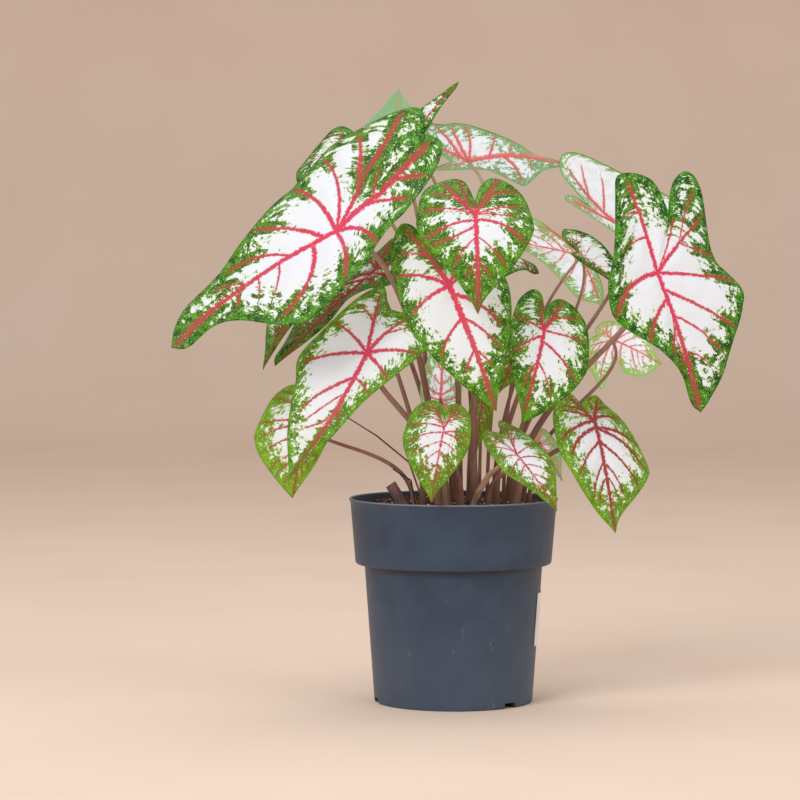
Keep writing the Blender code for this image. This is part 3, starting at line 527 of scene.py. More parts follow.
def veins_of(leaf, width, draw):
    """The veins of a leaf, from its own rows or the usual ones."""
    wide = (VEIN_LEAST_WIDTH + VEIN_WIDTH_PER_MM * leaf.length) * width
    made = []
    for *spring, step, reach, sag, thick in VEINS.get(leaf.name) or usual_veins(draw):
        start = np.zeros(2)
        if spring:
            parent, place = spring
            start = made[parent].path[round(place * (VEIN_POINTS - 1))]
        made.append(Vein(bow(start, margin(leaf, step) * reach, sag, VEIN_POINTS), wide * thick, thick))
    return made


# Shader maths


def arithmetic(operation, swapped=False):
    """A method that works out one operation with a Math node."""

    def method(self, *others):
        values = (*others, self) if swapped else (self, *others)
        return self.finish.node("ShaderNodeMath", {"operation": operation}, dict(enumerate(values)))

    return method


class Term:
    """A socket that takes part in Python's arithmetic."""

    __add__ = arithmetic("ADD")
    __radd__ = arithmetic("ADD", True)
    __sub__ = arithmetic("SUBTRACT")
    __rsub__ = arithmetic("SUBTRACT", True)
    __mul__ = arithmetic("MULTIPLY")
    __truediv__ = arithmetic("DIVIDE")
    __pow__ = arithmetic("POWER")
    __abs__ = arithmetic("ABSOLUTE")
    least = arithmetic("MINIMUM")
    most = arithmetic("MAXIMUM")

    def __init__(self, finish, socket):
        self.finish = finish
        self.socket = socket


def linear(colour):
    """A colour given as 0 to 255 for the screen, in the shader's linear light."""
    parts = [part / 255.0 for part in colour]
    return tuple(part / 12.92 if part <= 0.04045 else ((part + 0.055) / 1.055) ** 2.4 for part in parts) + (1.0,)


class Finish:
    """A material whose nodes are made by one method."""

    def __init__(self, name, roughness=0.5, **constants):
        self.material = bpy.data.materials.new(name)
        self.material.use_nodes = True
        self.tree = self.material.node_tree
        self.shader = self.tree.nodes["Principled BSDF"]
        self.feed("Roughness", roughness)
        for socket, value in constants.items():
            self.feed(socket.replace("_", " "), value)

    def connect(self, socket, value):
        if isinstance(value, Term):
            self.tree.links.new(value.socket, socket)
        else:
            socket.default_value = value

    def feed(self, socket, value):
        """Gives a value to the shader's own socket."""
        self.connect(self.shader.inputs[socket], value)

    def node(self, kind, settings=None, inputs=None, output=0):
        made = self.tree.nodes.new(kind)
        for setting, value in (settings or {}).items():
            setattr(made, setting, value)
        for key, value in (inputs or {}).items():
            self.connect(made.inputs[key], value)
        return Term(self, made.outputs[output])

    def attribute(self, name, output="Fac"):
        return self.node("ShaderNodeAttribute", {"attribute_name": name}, output=output)

    def split(self, vector):
        made = self.tree.nodes.new("ShaderNodeSeparateXYZ")
        self.connect(made.inputs[0], vector)
        return [Term(self, socket) for socket in made.outputs]

    def place(self):
        return self.node("ShaderNodeTexCoord", output="Object")

    def stretch(self, vector, upwards):
        return self.node("ShaderNodeVectorMath", {"operation": "MULTIPLY"}, {0: vector, 1: (1.0, 1.0, upwards)})

    def noise(self, vector, scale, detail=3.0, roughness=0.55):
        return self.node("ShaderNodeTexNoise", None, {
            "Vector": vector, "Scale": scale, "Detail": detail, "Roughness": roughness,
        })

    def net(self, vector, scale):
        """The distance to the edges of a net of cells."""
        return self.node("ShaderNodeTexVoronoi", {"feature": "DISTANCE_TO_EDGE"}, {
            "Vector": vector, "Scale": scale,
        }, "Distance")

    def step(self, value, low, high):
        """0 below low and 1 above high, with a smooth rise. Given high below low it falls."""
        return self.node("ShaderNodeMapRange", {"interpolation_type": "SMOOTHSTEP"}, {
            "Value": value, "From Min": low, "From Max": high, "To Min": 0.0, "To Max": 1.0,
        })

    def mix(self, share, first, second):
        made = self.tree.nodes.new("ShaderNodeMix")
        made.data_type = "RGBA"
        for socket, value in ((made.inputs["Factor"], share), (made.inputs[6], first), (made.inputs[7], second)):
            self.connect(socket, value)
        return Term(self, made.outputs[2])

    def bump(self, height, distance, strength=1.0):
        self.feed("Normal", self.node("ShaderNodeBump", None, {
            "Height": height, "Distance": distance, "Strength": strength,
        }))

    def colour(self, value):
        self.feed("Base Color", value)


def grained_finish(name, roughness, tones, patches, grain, relief, flecks=None, specular=0.5):
    """A material of two tones in patches under a bumpy grain, which can show in a third tone.

    patches are the scale and detail of their noise and where in it the tones turn. grain is the upward stretch,
    scale, detail and roughness of its noise, and relief is the bump's distance and strength. flecks say where in
    the grain the third tone rises.
    """
    finish = Finish(name, roughness, Specular_IOR_Level=specular)
    place = finish.place()
    scale, detail, low, high = patches
    first, second, *third = (linear(tone) for tone in tones)
    base = finish.mix(finish.step(finish.noise(place, scale, detail), low, high), first, second)
    upwards, *texture = grain
    fibres = finish.noise(finish.stretch(place, upwards), *texture)
    if flecks:
        base = finish.mix(finish.step(fibres, *flecks) * 0.5, base, *third)
    finish.colour(base)
    finish.bump(fibres, *relief)
    return finish.material


# Leaf finishes


LEAF_WHITE = linear((235, 238, 244))
LEAF_GREY = linear((222, 228, 222))
LEAF_HAZE = linear((206, 222, 158))
DEEP_GREEN = linear((18, 76, 10))
MID_GREEN = linear((58, 132, 12))
YOUNG_GREEN = linear((140, 186, 34))
OLIVE = linear((108, 104, 30))
VEIN_PINK = linear((226, 40, 88))
VEIN_SALMON = linear((196, 70, 76))
VEIN_DARK_RED = linear((156, 14, 38))
VEIN_BROWN = linear((132, 92, 54))
UNDER_WHITE = linear((230, 238, 252))
UNDER_GREY = linear((218, 226, 228))
UNDER_GREEN = linear((92, 146, 72))
UNDER_YOUNG = linear((128, 178, 40))
UNDER_VEIN = linear((220, 104, 112))
UNDER_VEIN_OUTER = linear((196, 116, 106))

# Markings of a blade: lengths in millimetres, and levels of noise
VEIN_JAGS = 2.4
VEIN_JITTER = 3.0
VEIN_BLUR = 0.14
BLUSH_REACH = 1.4
FRINGE_REACH = 5.0
FLECK_REACH = 3.5
OUTER_BAND = 16.0
GREEN_LEAST_REACH = 8.0
GREEN_MORE_REACH = 44.0
GREEN_LEVEL = 0.425
GREEN_LEVEL_RISE = 0.17
GREEN_EDGE = 0.006
HAZE_EDGE = 0.05


class LeafPattern:
    """The fields that both sides of a blade are coloured by."""

    def __init__(self, finish, less_green=0.0):
        green, self.youth, self.red = finish.split(finish.attribute("look", "Color"))
        rim = finish.attribute("rim")
        busy = finish.attribute("busy")
        self.share = finish.attribute("share")
        self.flat = finish.attribute("flat", "Vector")
        self.outer = finish.step(rim, OUTER_BAND, 2.0)
        # Veins with ragged sides, a blush beside them and an olive fringe
        offset, half_width, _ = finish.split(finish.node("ShaderNodeUVMap", {"uv_map": "vein"}))
        distance = abs(offset)
        jag = finish.noise(self.flat, 0.3, 4.0, 0.75)
        ragged = half_width * (jag * VEIN_JAGS - 0.2) + (jag - 0.5) * VEIN_JITTER
        self.vein = finish.step(distance - ragged, VEIN_BLUR, -VEIN_BLUR)
        self.blush = finish.step(distance - ragged, BLUSH_REACH, 0.0)
        self.fringe = finish.step(distance - half_width, FRINGE_REACH, 1.0) * busy
        # Green flecks, which thin out from the rim and gather beside veins
        self.spread = finish.noise(self.flat, 0.1, 3.0, 0.6)
        self.fine = finish.noise(finish.attribute("flow", "Vector"), 0.3, 3.0, 0.62)
        tiny = finish.noise(self.flat, 0.62, 3.0, 0.6)
        field = self.spread * 0.28 + self.fine * 0.54 + tiny * 0.18
        inward = (rim / (green * GREEN_MORE_REACH + GREEN_LEAST_REACH)).least(1.6)
        beside_vein = finish.step(distance - half_width - busy * FLECK_REACH, FLECK_REACH, 0.5) * self.share
        level = inward**1.1 * GREEN_LEVEL_RISE + GREEN_LEVEL + less_green - beside_vein * (busy * 0.11 + 0.01)
        flecks = finish.step(field - level, -GREEN_EDGE, GREEN_EDGE)
        self.haze = finish.step(field - level, -HAZE_EDGE, 0.0)
        # A solid green rim with a few pale specks
        solid = finish.step(rim + (self.spread - 0.5) * 14.0 - green * 6.0, 1.6, 0.8)
        specks = finish.step(finish.noise(self.flat, 0.55, 2.0, 0.6), 0.62, 0.64)
        specks = specks * finish.step(rim, 1.0, 1.8) * finish.step(green, 2.0, 1.0)
        self.green = flecks.most(solid) * (1.0 - specks * 0.9)
        self.network = finish.step(finish.net(self.flat, 0.2), 0.05, 0.0)


def upper_finish():
    # The upper side glows faintly in its own colour: painted light standing in for light that passes through the
    # leaf.
    finish = Finish("blade_upper", roughness=0.42, Specular_IOR_Level=0.16, Emission_Strength=0.08)
    pattern = LeafPattern(finish)
    fresh = finish.mix(pattern.youth, MID_GREEN, YOUNG_GREEN)
    depth = finish.step(pattern.spread, 0.42, 0.6)
    green = finish.mix(depth * (1.0 - pattern.youth), fresh, DEEP_GREEN)
    green = finish.mix(finish.step(pattern.fine, 0.55, 0.66) * 0.4, green, YOUNG_GREEN)
    green = finish.mix(pattern.fringe * 0.7, green, OLIVE)
    pale = finish.mix(pattern.network * 0.25, LEAF_WHITE, LEAF_GREY)
    pale = finish.mix(pattern.haze * 0.8, pale, LEAF_HAZE)
    base = finish.mix(pattern.green, pale, green)
    vein = finish.mix(finish.step(pattern.share, 0.1, 0.8), VEIN_PINK, VEIN_SALMON)
    vein = finish.mix(pattern.red, vein, VEIN_DARK_RED)
    browned = pattern.outer * 0.5 + pattern.green * pattern.outer * 0.25 + pattern.youth * 0.3
    vein = finish.mix(browned.least(0.8), vein, VEIN_BROWN)
    base = finish.mix(pattern.blush * 0.25, base, vein)
    base = finish.mix(pattern.vein * 0.95, base, vein)
    finish.colour(base)
    # Painted glow: the emission takes the blade's own colour.
    finish.feed("Emission Color", base)
    grain = finish.noise(pattern.flat, 1.6, 2.0)
    height = grain * 0.25 + pattern.network * -0.2 + pattern.vein * -0.4
    finish.bump(height, 0.0003, 0.5)
    finish.feed("Roughness", grain * 0.12 + 0.4)
    return finish.material


def under_finish():
    # The underside glows in its own colour: painted light standing in for light that shines through the blade from
    # behind.
    finish = Finish("blade_under", roughness=0.6, Specular_IOR_Level=0.3, Emission_Strength=0.48)
    pattern = LeafPattern(finish, 0.03)
    fresh = finish.mix(pattern.youth, UNDER_GREEN, UNDER_YOUNG)
    cloudy = finish.step(pattern.spread, 0.42, 0.62)
    pale = finish.mix(cloudy * 0.7, UNDER_WHITE, UNDER_GREY)
    pale = finish.mix(pattern.haze * 0.5, pale, finish.mix(0.4, pale, fresh))
    base = finish.mix(pattern.green * 0.85, pale, fresh)
    vein = finish.mix(finish.step(pattern.share, 0.2, 0.9), UNDER_VEIN, UNDER_VEIN_OUTER)
    base = finish.mix(pattern.blush * 0.35, base, vein)
    base = finish.mix(pattern.vein * 0.85, base, vein)
    finish.colour(base)
    # Painted glow: the emission takes the underside's own colour.
    finish.feed("Emission Color", base)
    finish.bump(finish.noise(pattern.flat, 1.2, 2.0) * 0.3 + pattern.network * 0.3, 0.0003, 0.5)
    return finish.material


def rib_finish():
    # The ribs glow faintly pink: painted light standing in for light that passes through the veins.
    finish = Finish("vein_rib", roughness=0.55, Emission_Strength=0.25)
    place = finish.place()
    patches = finish.noise(place, 60.0, 3.0)
    finish.colour(finish.mix(finish.step(patches, 0.4, 0.65), linear((224, 118, 122)), linear((204, 124, 114))))
    # Painted glow in the underside's vein colours.
    finish.feed("Emission Color", finish.mix(0.5, UNDER_VEIN, UNDER_VEIN_OUTER))
    finish.bump(finish.noise(place, 900.0, 1.0), 0.0002, 0.4)
    return finish.material


def petiole_finish():
    """Mauve brown with fine long streaks, greener on some stalks and paler at the foot."""
    finish = Finish("petiole_skin", roughness=0.42)
    place = finish.place()
    streaks = finish.noise(finish.stretch(place, 0.06), 900.0, 2.0, 0.6)
    broad = finish.noise(finish.stretch(place, 0.35), 26.0, 2.0)
    base = finish.mix(finish.step(broad, 0.38, 0.62), linear((136, 92, 84)), linear((168, 122, 110)))
    base = finish.mix(finish.step(broad, 0.58, 0.68) * 0.5, base, linear((152, 142, 100)))
    base = finish.mix(finish.step(streaks, 0.45, 0.7) * 0.5, base, linear((100, 60, 56)))
    _, _, height = finish.split(place)
    base = finish.mix(finish.step(height, 0.235, 0.2) * 0.6, base, linear((148, 108, 84)))
    base = finish.mix(finish.step(height, 0.38, 0.5) * 0.6, base, linear((196, 182, 152)))
    finish.colour(base)
    finish.bump(streaks, 0.0004, 0.5)
    return finish.material


# Meshes


def add(name, data):
    """A new object of the scene."""
    item = bpy.data.objects.new(name, data)
    COLLECTION.objects.link(item)
    return item


def mesh_of(name, bm):
    """The bmesh as a mesh. The bmesh is freed."""
    mesh = bpy.data.meshes.new(name)
    bm.to_mesh(mesh)
    bm.free()
    return mesh


def grow(bm, edges):
    """Extrudes edges and returns the new vertices."""
    made = bmesh.ops.extrude_edge_only(bm, edges=edges)["geom"]
    return [one for one in made if isinstance(one, bmesh.types.BMVert)]


def finish_object(name, mesh, materials, nodes):
    """A finished piece, which rides on the root and stands for its frame nodes."""
    item = add(name, mesh)
    for material in materials:
        item.data.materials.append(material)
    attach(item, "root")
    if nodes:
        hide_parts(*nodes)
    return item


def bm_object(name, bm, materials, nodes, smooth=True):
    mesh = mesh_of(name, bm)
    if smooth:
        mesh.shade_smooth()
    finish_object(name, mesh, materials, nodes)


def read_floats(items, key, width):
    values = np.empty(len(items) * width)
    items.foreach_get(key, values)
    return values.reshape(-1, width)


def flat_blade(leaf, columns, rings):
    """The blade's flat grid round its hub, with step and share kept at each point."""
    outline = [margin(leaf, step) for step in np.linspace(-10.0, 10.0, columns + 1)]
    bm = bmesh.new()
    bmesh.ops.create_grid(bm, x_segments=columns, y_segments=rings, size=0.5)
    step_layer = bm.verts.layers.float.new("step")
    share_layer = bm.verts.layers.float.new("share")
    for vert in bm.verts:
        column = round((vert.co.x + 0.5) * columns)
        ring = round((vert.co.y + 0.5) * rings) / rings
        share = 1.0 - (1.0 - ring) ** RING_CROWDING
        ahead, aside = outline[column] * share
        vert.co = (ahead, aside, 0.0)
        vert[step_layer] = -10.0 + 20.0 * column / columns
        vert[share_layer] = share
    bmesh.ops.remove_doubles(bm, verts=bm.verts, dist=1e-4)
    if next(iter(bm.faces)).normal.z < 0:
        bmesh.ops.reverse_faces(bm, faces=bm.faces)
    return bm


def nearest_vein(points, veins):
    """Which vein each point is nearest to, measured from the veins' sides."""
    best = np.full(len(points), FAR)
    owner = np.zeros(len(points), int)
    for index, vein in enumerate(veins):
        away, _, half = vein.measure(points)
        closer = away - half < best
        best[closer] = (away - half)[closer]
        owner[closer] = index
    return owner


def map_veins(mesh, flat, veins):
    """Keeps how far each face corner is from a vein, left or right, and that vein's half width, as a UV map.

    Each face follows the one vein that is nearest to its middle, so its corners measure from the same line.
    """
    corners = read_floats(mesh.loops, "vertex_index", 1)[:, 0].astype(int)
    totals = read_floats(mesh.polygons, "loop_total", 1)[:, 0].astype(int)
    face_of_corner = np.repeat(np.arange(len(totals)), totals)
    middle = np.zeros((len(totals), 2))
    np.add.at(middle, face_of_corner, flat[corners])
    middle /= totals[:, None]
    owner = nearest_vein(middle, veins)[face_of_corner]
    measures = np.zeros((len(corners), 2))
    for index, vein in enumerate(veins):
        mine = owner == index
        if mine.any():
            away, side, half = vein.measure(flat[corners[mine]])
            measures[mine] = np.stack([away * side, half], 1)
    mesh.uv_layers.new(name="vein").data.foreach_set("uv", measures.ravel())


def blade_relief(leaf, number, flat, rim, veins):
    """Between the veins the blade swells a little, and its surface is never quite even."""
    hill = np.full(len(flat), FAR)
    for vein in veins:
        away, _, half = vein.measure(flat)
        hill = np.minimum(hill, away - half * 0.5 + (2.0 - 2.0 * half.clip(0.0, 1.0)))
    size = leaf.length / 100.0
    swell = SWELL * size * (1.0 - np.exp(-(np.maximum(hill, 0.0) / (SWELL_REACH * size)) ** 2))
    uneven = UNEVENNESS * np.array([
        noise.noise(Vector((x * UNEVEN_SCALE, y * UNEVEN_SCALE, number * 7.0))) for x, y in flat
    ])
    return swell * np.minimum(rim / 8.0, 1.0) + uneven * np.minimum(rim / 10.0, 1.0)


def make_blade(number, leaf, upper, under, rib):
    draw = random.Random(100 + number)
    green, youth, red, width, busy = LOOKS[leaf.name]
    reach = leaf.length + leaf.left[2] + leaf.left[0] + leaf.right[0]
    fine = 1.0
    columns = 2 * round(fine * reach * COLUMNS_PER_MM)
    rings = max(round(fine * leaf.length * RINGS_PER_MM), LEAST_RINGS)
    mesh = mesh_of(f"leaf_{leaf.name}", flat_blade(leaf, columns, rings))
    flat = read_floats(mesh.vertices, "co", 3)[:, :2]
    step, share = (read_floats(mesh.attributes[name].data, "value", 1)[:, 0] for name in ("step", "share"))
    where = Locator(leaf)
    rim = where.rim_distance(flat)
    rim[share > 0.999] = 0.0
    veins = veins_of(leaf, width, draw)
    map_veins(mesh, flat, veins)
    placed = on_blade(leaf, flat, step, share, blade_relief(leaf, number, flat, rim, veins))
    mesh.vertices.foreach_set("co", (placed * MM).ravel())
    outwards = np.hypot(flat[:, 0], flat[:, 1]) * FLOW_SCALE
    around = np.arctan2(flat[:, 1], flat[:, 0]) * FLOW_FAN * (0.35 + 0.65 * share)
    seed = np.full(len(flat), number * 40.0)
    # What the finishes read at each point
    for name, values in (
        ("flat", np.stack([flat[:, 0], flat[:, 1], seed], 1)),
        ("flow", np.stack([outwards, around, seed], 1)),
        ("look", np.tile((green, youth, red), (len(flat), 1))),
        ("rim", rim),
        ("busy", np.full(len(flat), busy)),
    ):
        kind, key = ("FLOAT_VECTOR", "vector") if values.ndim == 2 else ("FLOAT", "value")
        mesh.attributes.new(name, kind, "POINT").data.foreach_set(key, values.ravel())
    mesh.shade_smooth()
    blade = finish_object(f"leaf_{leaf.name}", mesh, (upper, under), (f"blade_{leaf.name}",))
    thick = blade.modifiers.new("Thickness", "SOLIDIFY")
    thick.thickness = BLADE_THICKNESS * MM
    thick.offset = 0.0
    thick.material_offset = 1
    make_ribs(leaf, veins, where, rib)


def tube_mesh(name, runs, roundness):
    """Round tapering tubes, each given as points and radii in millimetres, as one mesh."""
    curve = bpy.data.curves.new(name, "CURVE")
    curve.dimensions = "3D"
    curve.bevel_depth = MM
    curve.bevel_resolution = roundness
    curve.use_fill_caps = True
    for points, radii in runs:
        spline = curve.splines.new("POLY")
        spline.points.add(len(points) - 1)
        for place, point, radius in zip(spline.points, points, radii):
            place.co = (*(Vector(point) * MM), 1.0)
            place.radius = radius
    guide = add(name + "_path", curve)
    bpy.context.view_layer.update()
    graph = bpy.context.evaluated_depsgraph_get()
    mesh = bpy.data.meshes.new_from_object(guide.evaluated_get(graph))
    mesh.name = name
    bpy.data.objects.remove(guide, do_unlink=True)
    bm = bmesh.new()
    bm.from_mesh(mesh)
    bmesh.ops.remove_doubles(bm, verts=bm.verts, dist=1e-6)
    bmesh.ops.recalc_face_normals(bm, faces=bm.faces)
    bm.to_mesh(mesh)
    bm.free()
    mesh.shade_smooth()
    return mesh


def make_ribs(leaf, veins, where, rib):
    """The veins stand out as round ribs under the blade."""
    runs = []
    for vein in veins:
        if not vein.rib:
            continue
        step, share = where.find(vein.path)
        middle = on_blade(leaf, vein.path, step, share)
        ahead = on_blade(leaf, vein.path + np.array((0.5, 0.0)), step, share)
        beside = on_blade(leaf, vein.path + np.array((0.0, 0.5)), step, share)
        up = np.cross(ahead - middle, beside - middle)
        up /= np.linalg.norm(up, axis=1)[:, None]
        radii = np.maximum(vein.half_widths * RIB_SHARE, RIB_LEAST_RADIUS)
        runs.append((middle - up * (radii + RIB_GAP)[:, None], radii))
    mesh = tube_mesh(f"ribs_{leaf.name}", runs, 1)
    finish_object(f"ribs_{leaf.name}", mesh, (rib,), ())


# Petioles


def bezier(start, first, second, end, share):
    left = 1.0 - share
    return (
        start * left**3
        + first * 3.0 * left**2 * share
        + second * 3.0 * left * share**2
        + end * share**3
    )


def petiole_path(leaf, count):
    """Points from the foot in the mix to the blade."""
    surface = Vector((leaf.root[0], leaf.root[1], SOIL_TOP + SOIL_CROWN))
    lean = Vector((leaf.hub.x - surface.x, leaf.hub.y - surface.y, 0.0)) * FOOT_LEAN
    rise = (lean + Vector((0.0, 0.0, leaf.hub.z - surface.z))).normalized()
    slope = 4.0 * leaf.arch / leaf.length
    under = (leaf.normal - leaf.along * slope).normalized()
    top = leaf.hub - under * (0.5 * BLADE_THICKNESS + TOP_GAP)
    neck = top - under * NECK
    start = surface + rise * STRAIGHT_ABOVE_SOIL
    span = (neck - start).length
    first = start + rise * span * FOOT_HANDLE
    arrival = (leaf.normal * 0.75 - leaf.along * 0.65 + Vector((0.0, 0.0, 0.3))).normalized()
    second = Vector(leaf.via) if leaf.via else neck - arrival * span * TOP_HANDLE
    points = [surface - rise * ROOT_DEPTH, surface, surface + rise * STRAIGHT_ABOVE_SOIL * 0.5]
    points += [bezier(start, first, second, neck, number / count) for number in range(count + 1)]
    points += [neck.lerp(top, 0.5), top, leaf.hub - under * 0.1]
    return points


def make_petiole(leaf, skin):
    points = petiole_path(leaf, STALK_POINTS)
    thick, thin = leaf.stem
    last = len(points) - 1
    radii = []
    for number, point in enumerate(points):
        radius = thick + (thin - thick) * (number / last) ** STALK_TAPER
        above = max(point.z - SOIL_TOP, 0.0)
        radius *= 1.0 + FOOT_FLARE * math.exp(-above / FOOT_FLARE_HEIGHT)
        radius *= 1.0 + TOP_FLARE * max(0.0, (number - last + TOP_FLARE_POINTS) / TOP_FLARE_POINTS) ** 2
        radii.append(radius)
    mesh = tube_mesh(f"stalk_{leaf.name}", [(points, radii)], 3)
    finish_object(f"stalk_{leaf.name}", mesh, (skin,), (f"petiole_{leaf.name}",))


# Pot and label


def outer_radius(height):
    """The pot body's outer radius, which tapers to the foot."""
    return FOOT_RADIUS + (BODY_TOP_RADIUS - FOOT_RADIUS) * height / COLLAR_FOOT


def collar_radius(height):
    share = (height - COLLAR_FOOT) / (POT_HEIGHT - COLLAR_FOOT)
    return COLLAR_FOOT_RADIUS + (COLLAR_TOP_RADIUS - COLLAR_FOOT_RADIUS) * share


def inner_radius(height):
    if height > COLLAR_FOOT + POT_WALL:
        return collar_radius(height) - POT_WALL
    return outer_radius(height) - POT_WALL


def pot_profile():
    """Radius and height, from the top of the lip down the outside, under the foot and up the inside."""
    points = []
    for turn in np.linspace(0.0, 0.8 * math.pi, 9):
        out = RIM_RADIUS - LIP_RADIUS * (1.0 - math.sin(turn))
        points.append((out, POT_HEIGHT - LIP_RADIUS * (1.0 - math.cos(turn))))
    for height in np.linspace(POT_HEIGHT - 4.0, COLLAR_FOOT + COLLAR_ROUNDING, 9):
        points.append((collar_radius(height), height))
    for turn in np.linspace(0.1, 0.5 * math.pi, 6):
        out = COLLAR_FOOT_RADIUS - COLLAR_ROUNDING * (1.0 - math.cos(turn)) + 0.1
        points.append((out, COLLAR_FOOT + COLLAR_ROUNDING * (1.0 - math.sin(turn))))
    points += [
        (BODY_TOP_RADIUS + 1.4, COLLAR_FOOT + 0.2),
        (BODY_TOP_RADIUS + 0.5, COLLAR_FOOT - 0.2),
        (outer_radius(COLLAR_FOOT - 2.0), COLLAR_FOOT - 2.0),
    ]
    for height in np.linspace(COLLAR_FOOT - 8.0, 5.0, 12):
        points.append((outer_radius(height), height))
    for turn in np.linspace(0.0, 0.5 * math.pi, 5):
        out = outer_radius(2.0) - FOOT_ROUNDING * (1.0 - math.cos(turn))
        points.append((out, FOOT_ROUNDING * (1.0 - math.sin(turn))))
    points += [
        (FOOT_RADIUS - 1.6 - FOOT_RING_WIDTH, 0.0),
        (FOOT_RADIUS - 2.0 - FOOT_RING_WIDTH, 0.6),
        (FOOT_RADIUS - 2.4 - FOOT_RING_WIDTH, FLOOR_UNDERSIDE),
        (CENTRE_FOOT_RADIUS + 1.5, FLOOR_UNDERSIDE),
        (CENTRE_FOOT_RADIUS + 0.4, 0.6),
        (CENTRE_FOOT_RADIUS - 0.4, 0.0),
        (0.0, 0.0),
    ]
    floor = FLOOR_UNDERSIDE + FLOOR_THICKNESS
    ledge = COLLAR_FOOT + POT_WALL
    points += [
        (0.0, floor),
        (outer_radius(floor) - POT_WALL, floor),
        (outer_radius(ledge) - POT_WALL, ledge),
        (collar_radius(ledge) - POT_WALL, ledge + 0.4),
        (collar_radius(POT_HEIGHT - 3.0) - POT_WALL, POT_HEIGHT - 3.0),
        (collar_radius(POT_HEIGHT - 1.0) - POT_WALL + 0.4, POT_HEIGHT - 0.4),
    ]
    return points


def cut_away(bm, cutters):
    """Takes the solids of cutters from a mesh with the Boolean modifier and returns the result's mesh."""
    body, tools = (add(name, mesh_of(name, source)) for name, source in (("body", bm), ("cutters", cutters)))
    cut = body.modifiers.new("Cut", "BOOLEAN")
    cut.object = tools
    cut.solver = "EXACT"
    graph = bpy.context.evaluated_depsgraph_get()
    mesh = bpy.data.meshes.new_from_object(body.evaluated_get(graph))
    for item in (body, tools):
        bpy.data.objects.remove(item, do_unlink=True)
    return mesh


def pot_finish():
    """Blue-grey moulded plastic: faintly mottled and lighter towards the foot, with a few dust spots and rub marks,
    more of them low down; a painted highlight runs along the lip and a painted shadow lies under the collar.
    """
    finish = Finish("pot_plastic", roughness=0.46, Specular_IOR_Level=0.45)
    place = finish.place()
    _, _, height = finish.split(place)
    mottle = finish.noise(place, 26.0, 4.0, 0.6)
    grain = finish.noise(place, 1400.0, 1.0)
    dust = finish.noise(finish.stretch(place, 0.6), 90.0, 5.0, 0.7)
    base = finish.mix(finish.step(mottle, 0.36, 0.66), linear((46, 64, 86)), linear((56, 73, 96)))
    low = finish.step(height, 0.13, 0.0)
    base = finish.mix(low * 0.4, base, linear((88, 102, 120)))
    # Painted highlight: a thin pale band along the top of the lip.
    base = finish.mix(finish.step(height, 0.2030, 0.2045) * 0.55, base, linear((150, 162, 176)))
    # Painted shadow: a dark band on the wall just under the collar and on the collar's underside.
    collar_shadow = finish.step(height, (COLLAR_FOOT - 7.0) * MM, (COLLAR_FOOT - 0.5) * MM)
    collar_shadow = collar_shadow * finish.step(height, (COLLAR_FOOT + 0.9) * MM, (COLLAR_FOOT + 0.3) * MM)
    base = finish.mix(collar_shadow * 0.6, base, linear((18, 26, 36)))
    spots = finish.step(dust, 0.63, 0.72) * (0.15 + low * 0.5)
    base = finish.mix(spots, base, linear((132, 138, 146)))
    finish.colour(base)
    finish.feed("Roughness", 0.42 + mottle * 0.12 + spots * 0.2)
    finish.bump(grain * 0.4 + mottle, 0.0004, 0.35)
    return finish.material


def make_pot():
    bm = bmesh.new()
    verts = [bm.verts.new((radius * MM, 0.0, height * MM)) for radius, height in pot_profile()]
    edges = [bm.edges.new(pair) for pair in zip(verts, verts[1:])]
    edges.append(bm.edges.new((verts[-1], verts[0])))
    bmesh.ops.spin(
        bm, geom=verts + edges, cent=(0, 0, 0), axis=(0, 0, 1), angle=2.0 * math.pi, steps=144, use_merge=True,
    )
    bmesh.ops.remove_doubles(bm, verts=bm.verts, dist=1e-6)
    bmesh.ops.recalc_face_normals(bm, faces=bm.faces)
    cutters = bmesh.new()
    for angle in NOTCH_ANGLES:
        made = bmesh.ops.create_cube(cutters, size=1.0)["verts"]
        for vert in made:
            flare = 0.8 if vert.co.z > 0 else 1.0
            vert.co = Vector((
                vert.co.x * NOTCH_WIDTH * flare,
                -FOOT_RADIUS + vert.co.y * 4.0 * FOOT_RING_WIDTH,
                (vert.co.z - 0.5) * 2.0 * NOTCH_HEIGHT + NOTCH_HEIGHT,
            )) * MM
        bmesh.ops.rotate(cutters, verts=made, matrix=Matrix.Rotation(math.radians(angle), 3, "Z"))
    floor_middle = FLOOR_UNDERSIDE + 0.5 * FLOOR_THICKNESS
    for number in range(DRAIN_COUNT):
        angle = 2.0 * math.pi * (number + 0.5) / DRAIN_COUNT
        x, y = DRAIN_RING_RADIUS * math.cos(angle), DRAIN_RING_RADIUS * math.sin(angle)
        bmesh.ops.create_cone(
            cutters, cap_ends=True, segments=32, radius1=DRAIN_RADIUS * MM, radius2=DRAIN_RADIUS * MM,
            depth=4.0 * FLOOR_THICKNESS * MM, matrix=Matrix.Translation(Vector((x, y, floor_middle)) * MM),
        )
    mesh = cut_away(bm, cutters)
    mesh.name = "nursery_pot"
    mesh.shade_smooth()
    mesh.set_sharp_from_angle(angle=math.radians(32.0))
    finish_object("nursery_pot", mesh, (pot_finish(),), ("pot",))


# Potting mix


def soil_finish():
    finish = Finish("potting_mix", roughness=0.95, Specular_IOR_Level=0.15)
    place = finish.place()
    crumbs = finish.noise(place, 260.0, 6.0, 0.75)
    clods = finish.noise(place, 60.0, 3.0)
    base = finish.mix(finish.step(crumbs, 0.38, 0.66), linear((50, 32, 24)), linear((112, 76, 58)))
    base = finish.mix(finish.step(clods, 0.5, 0.68) * 0.5, base, linear((134, 92, 70)))
    finish.colour(base)
    finish.bump(crumbs, 0.002, 0.9)
    return finish.material


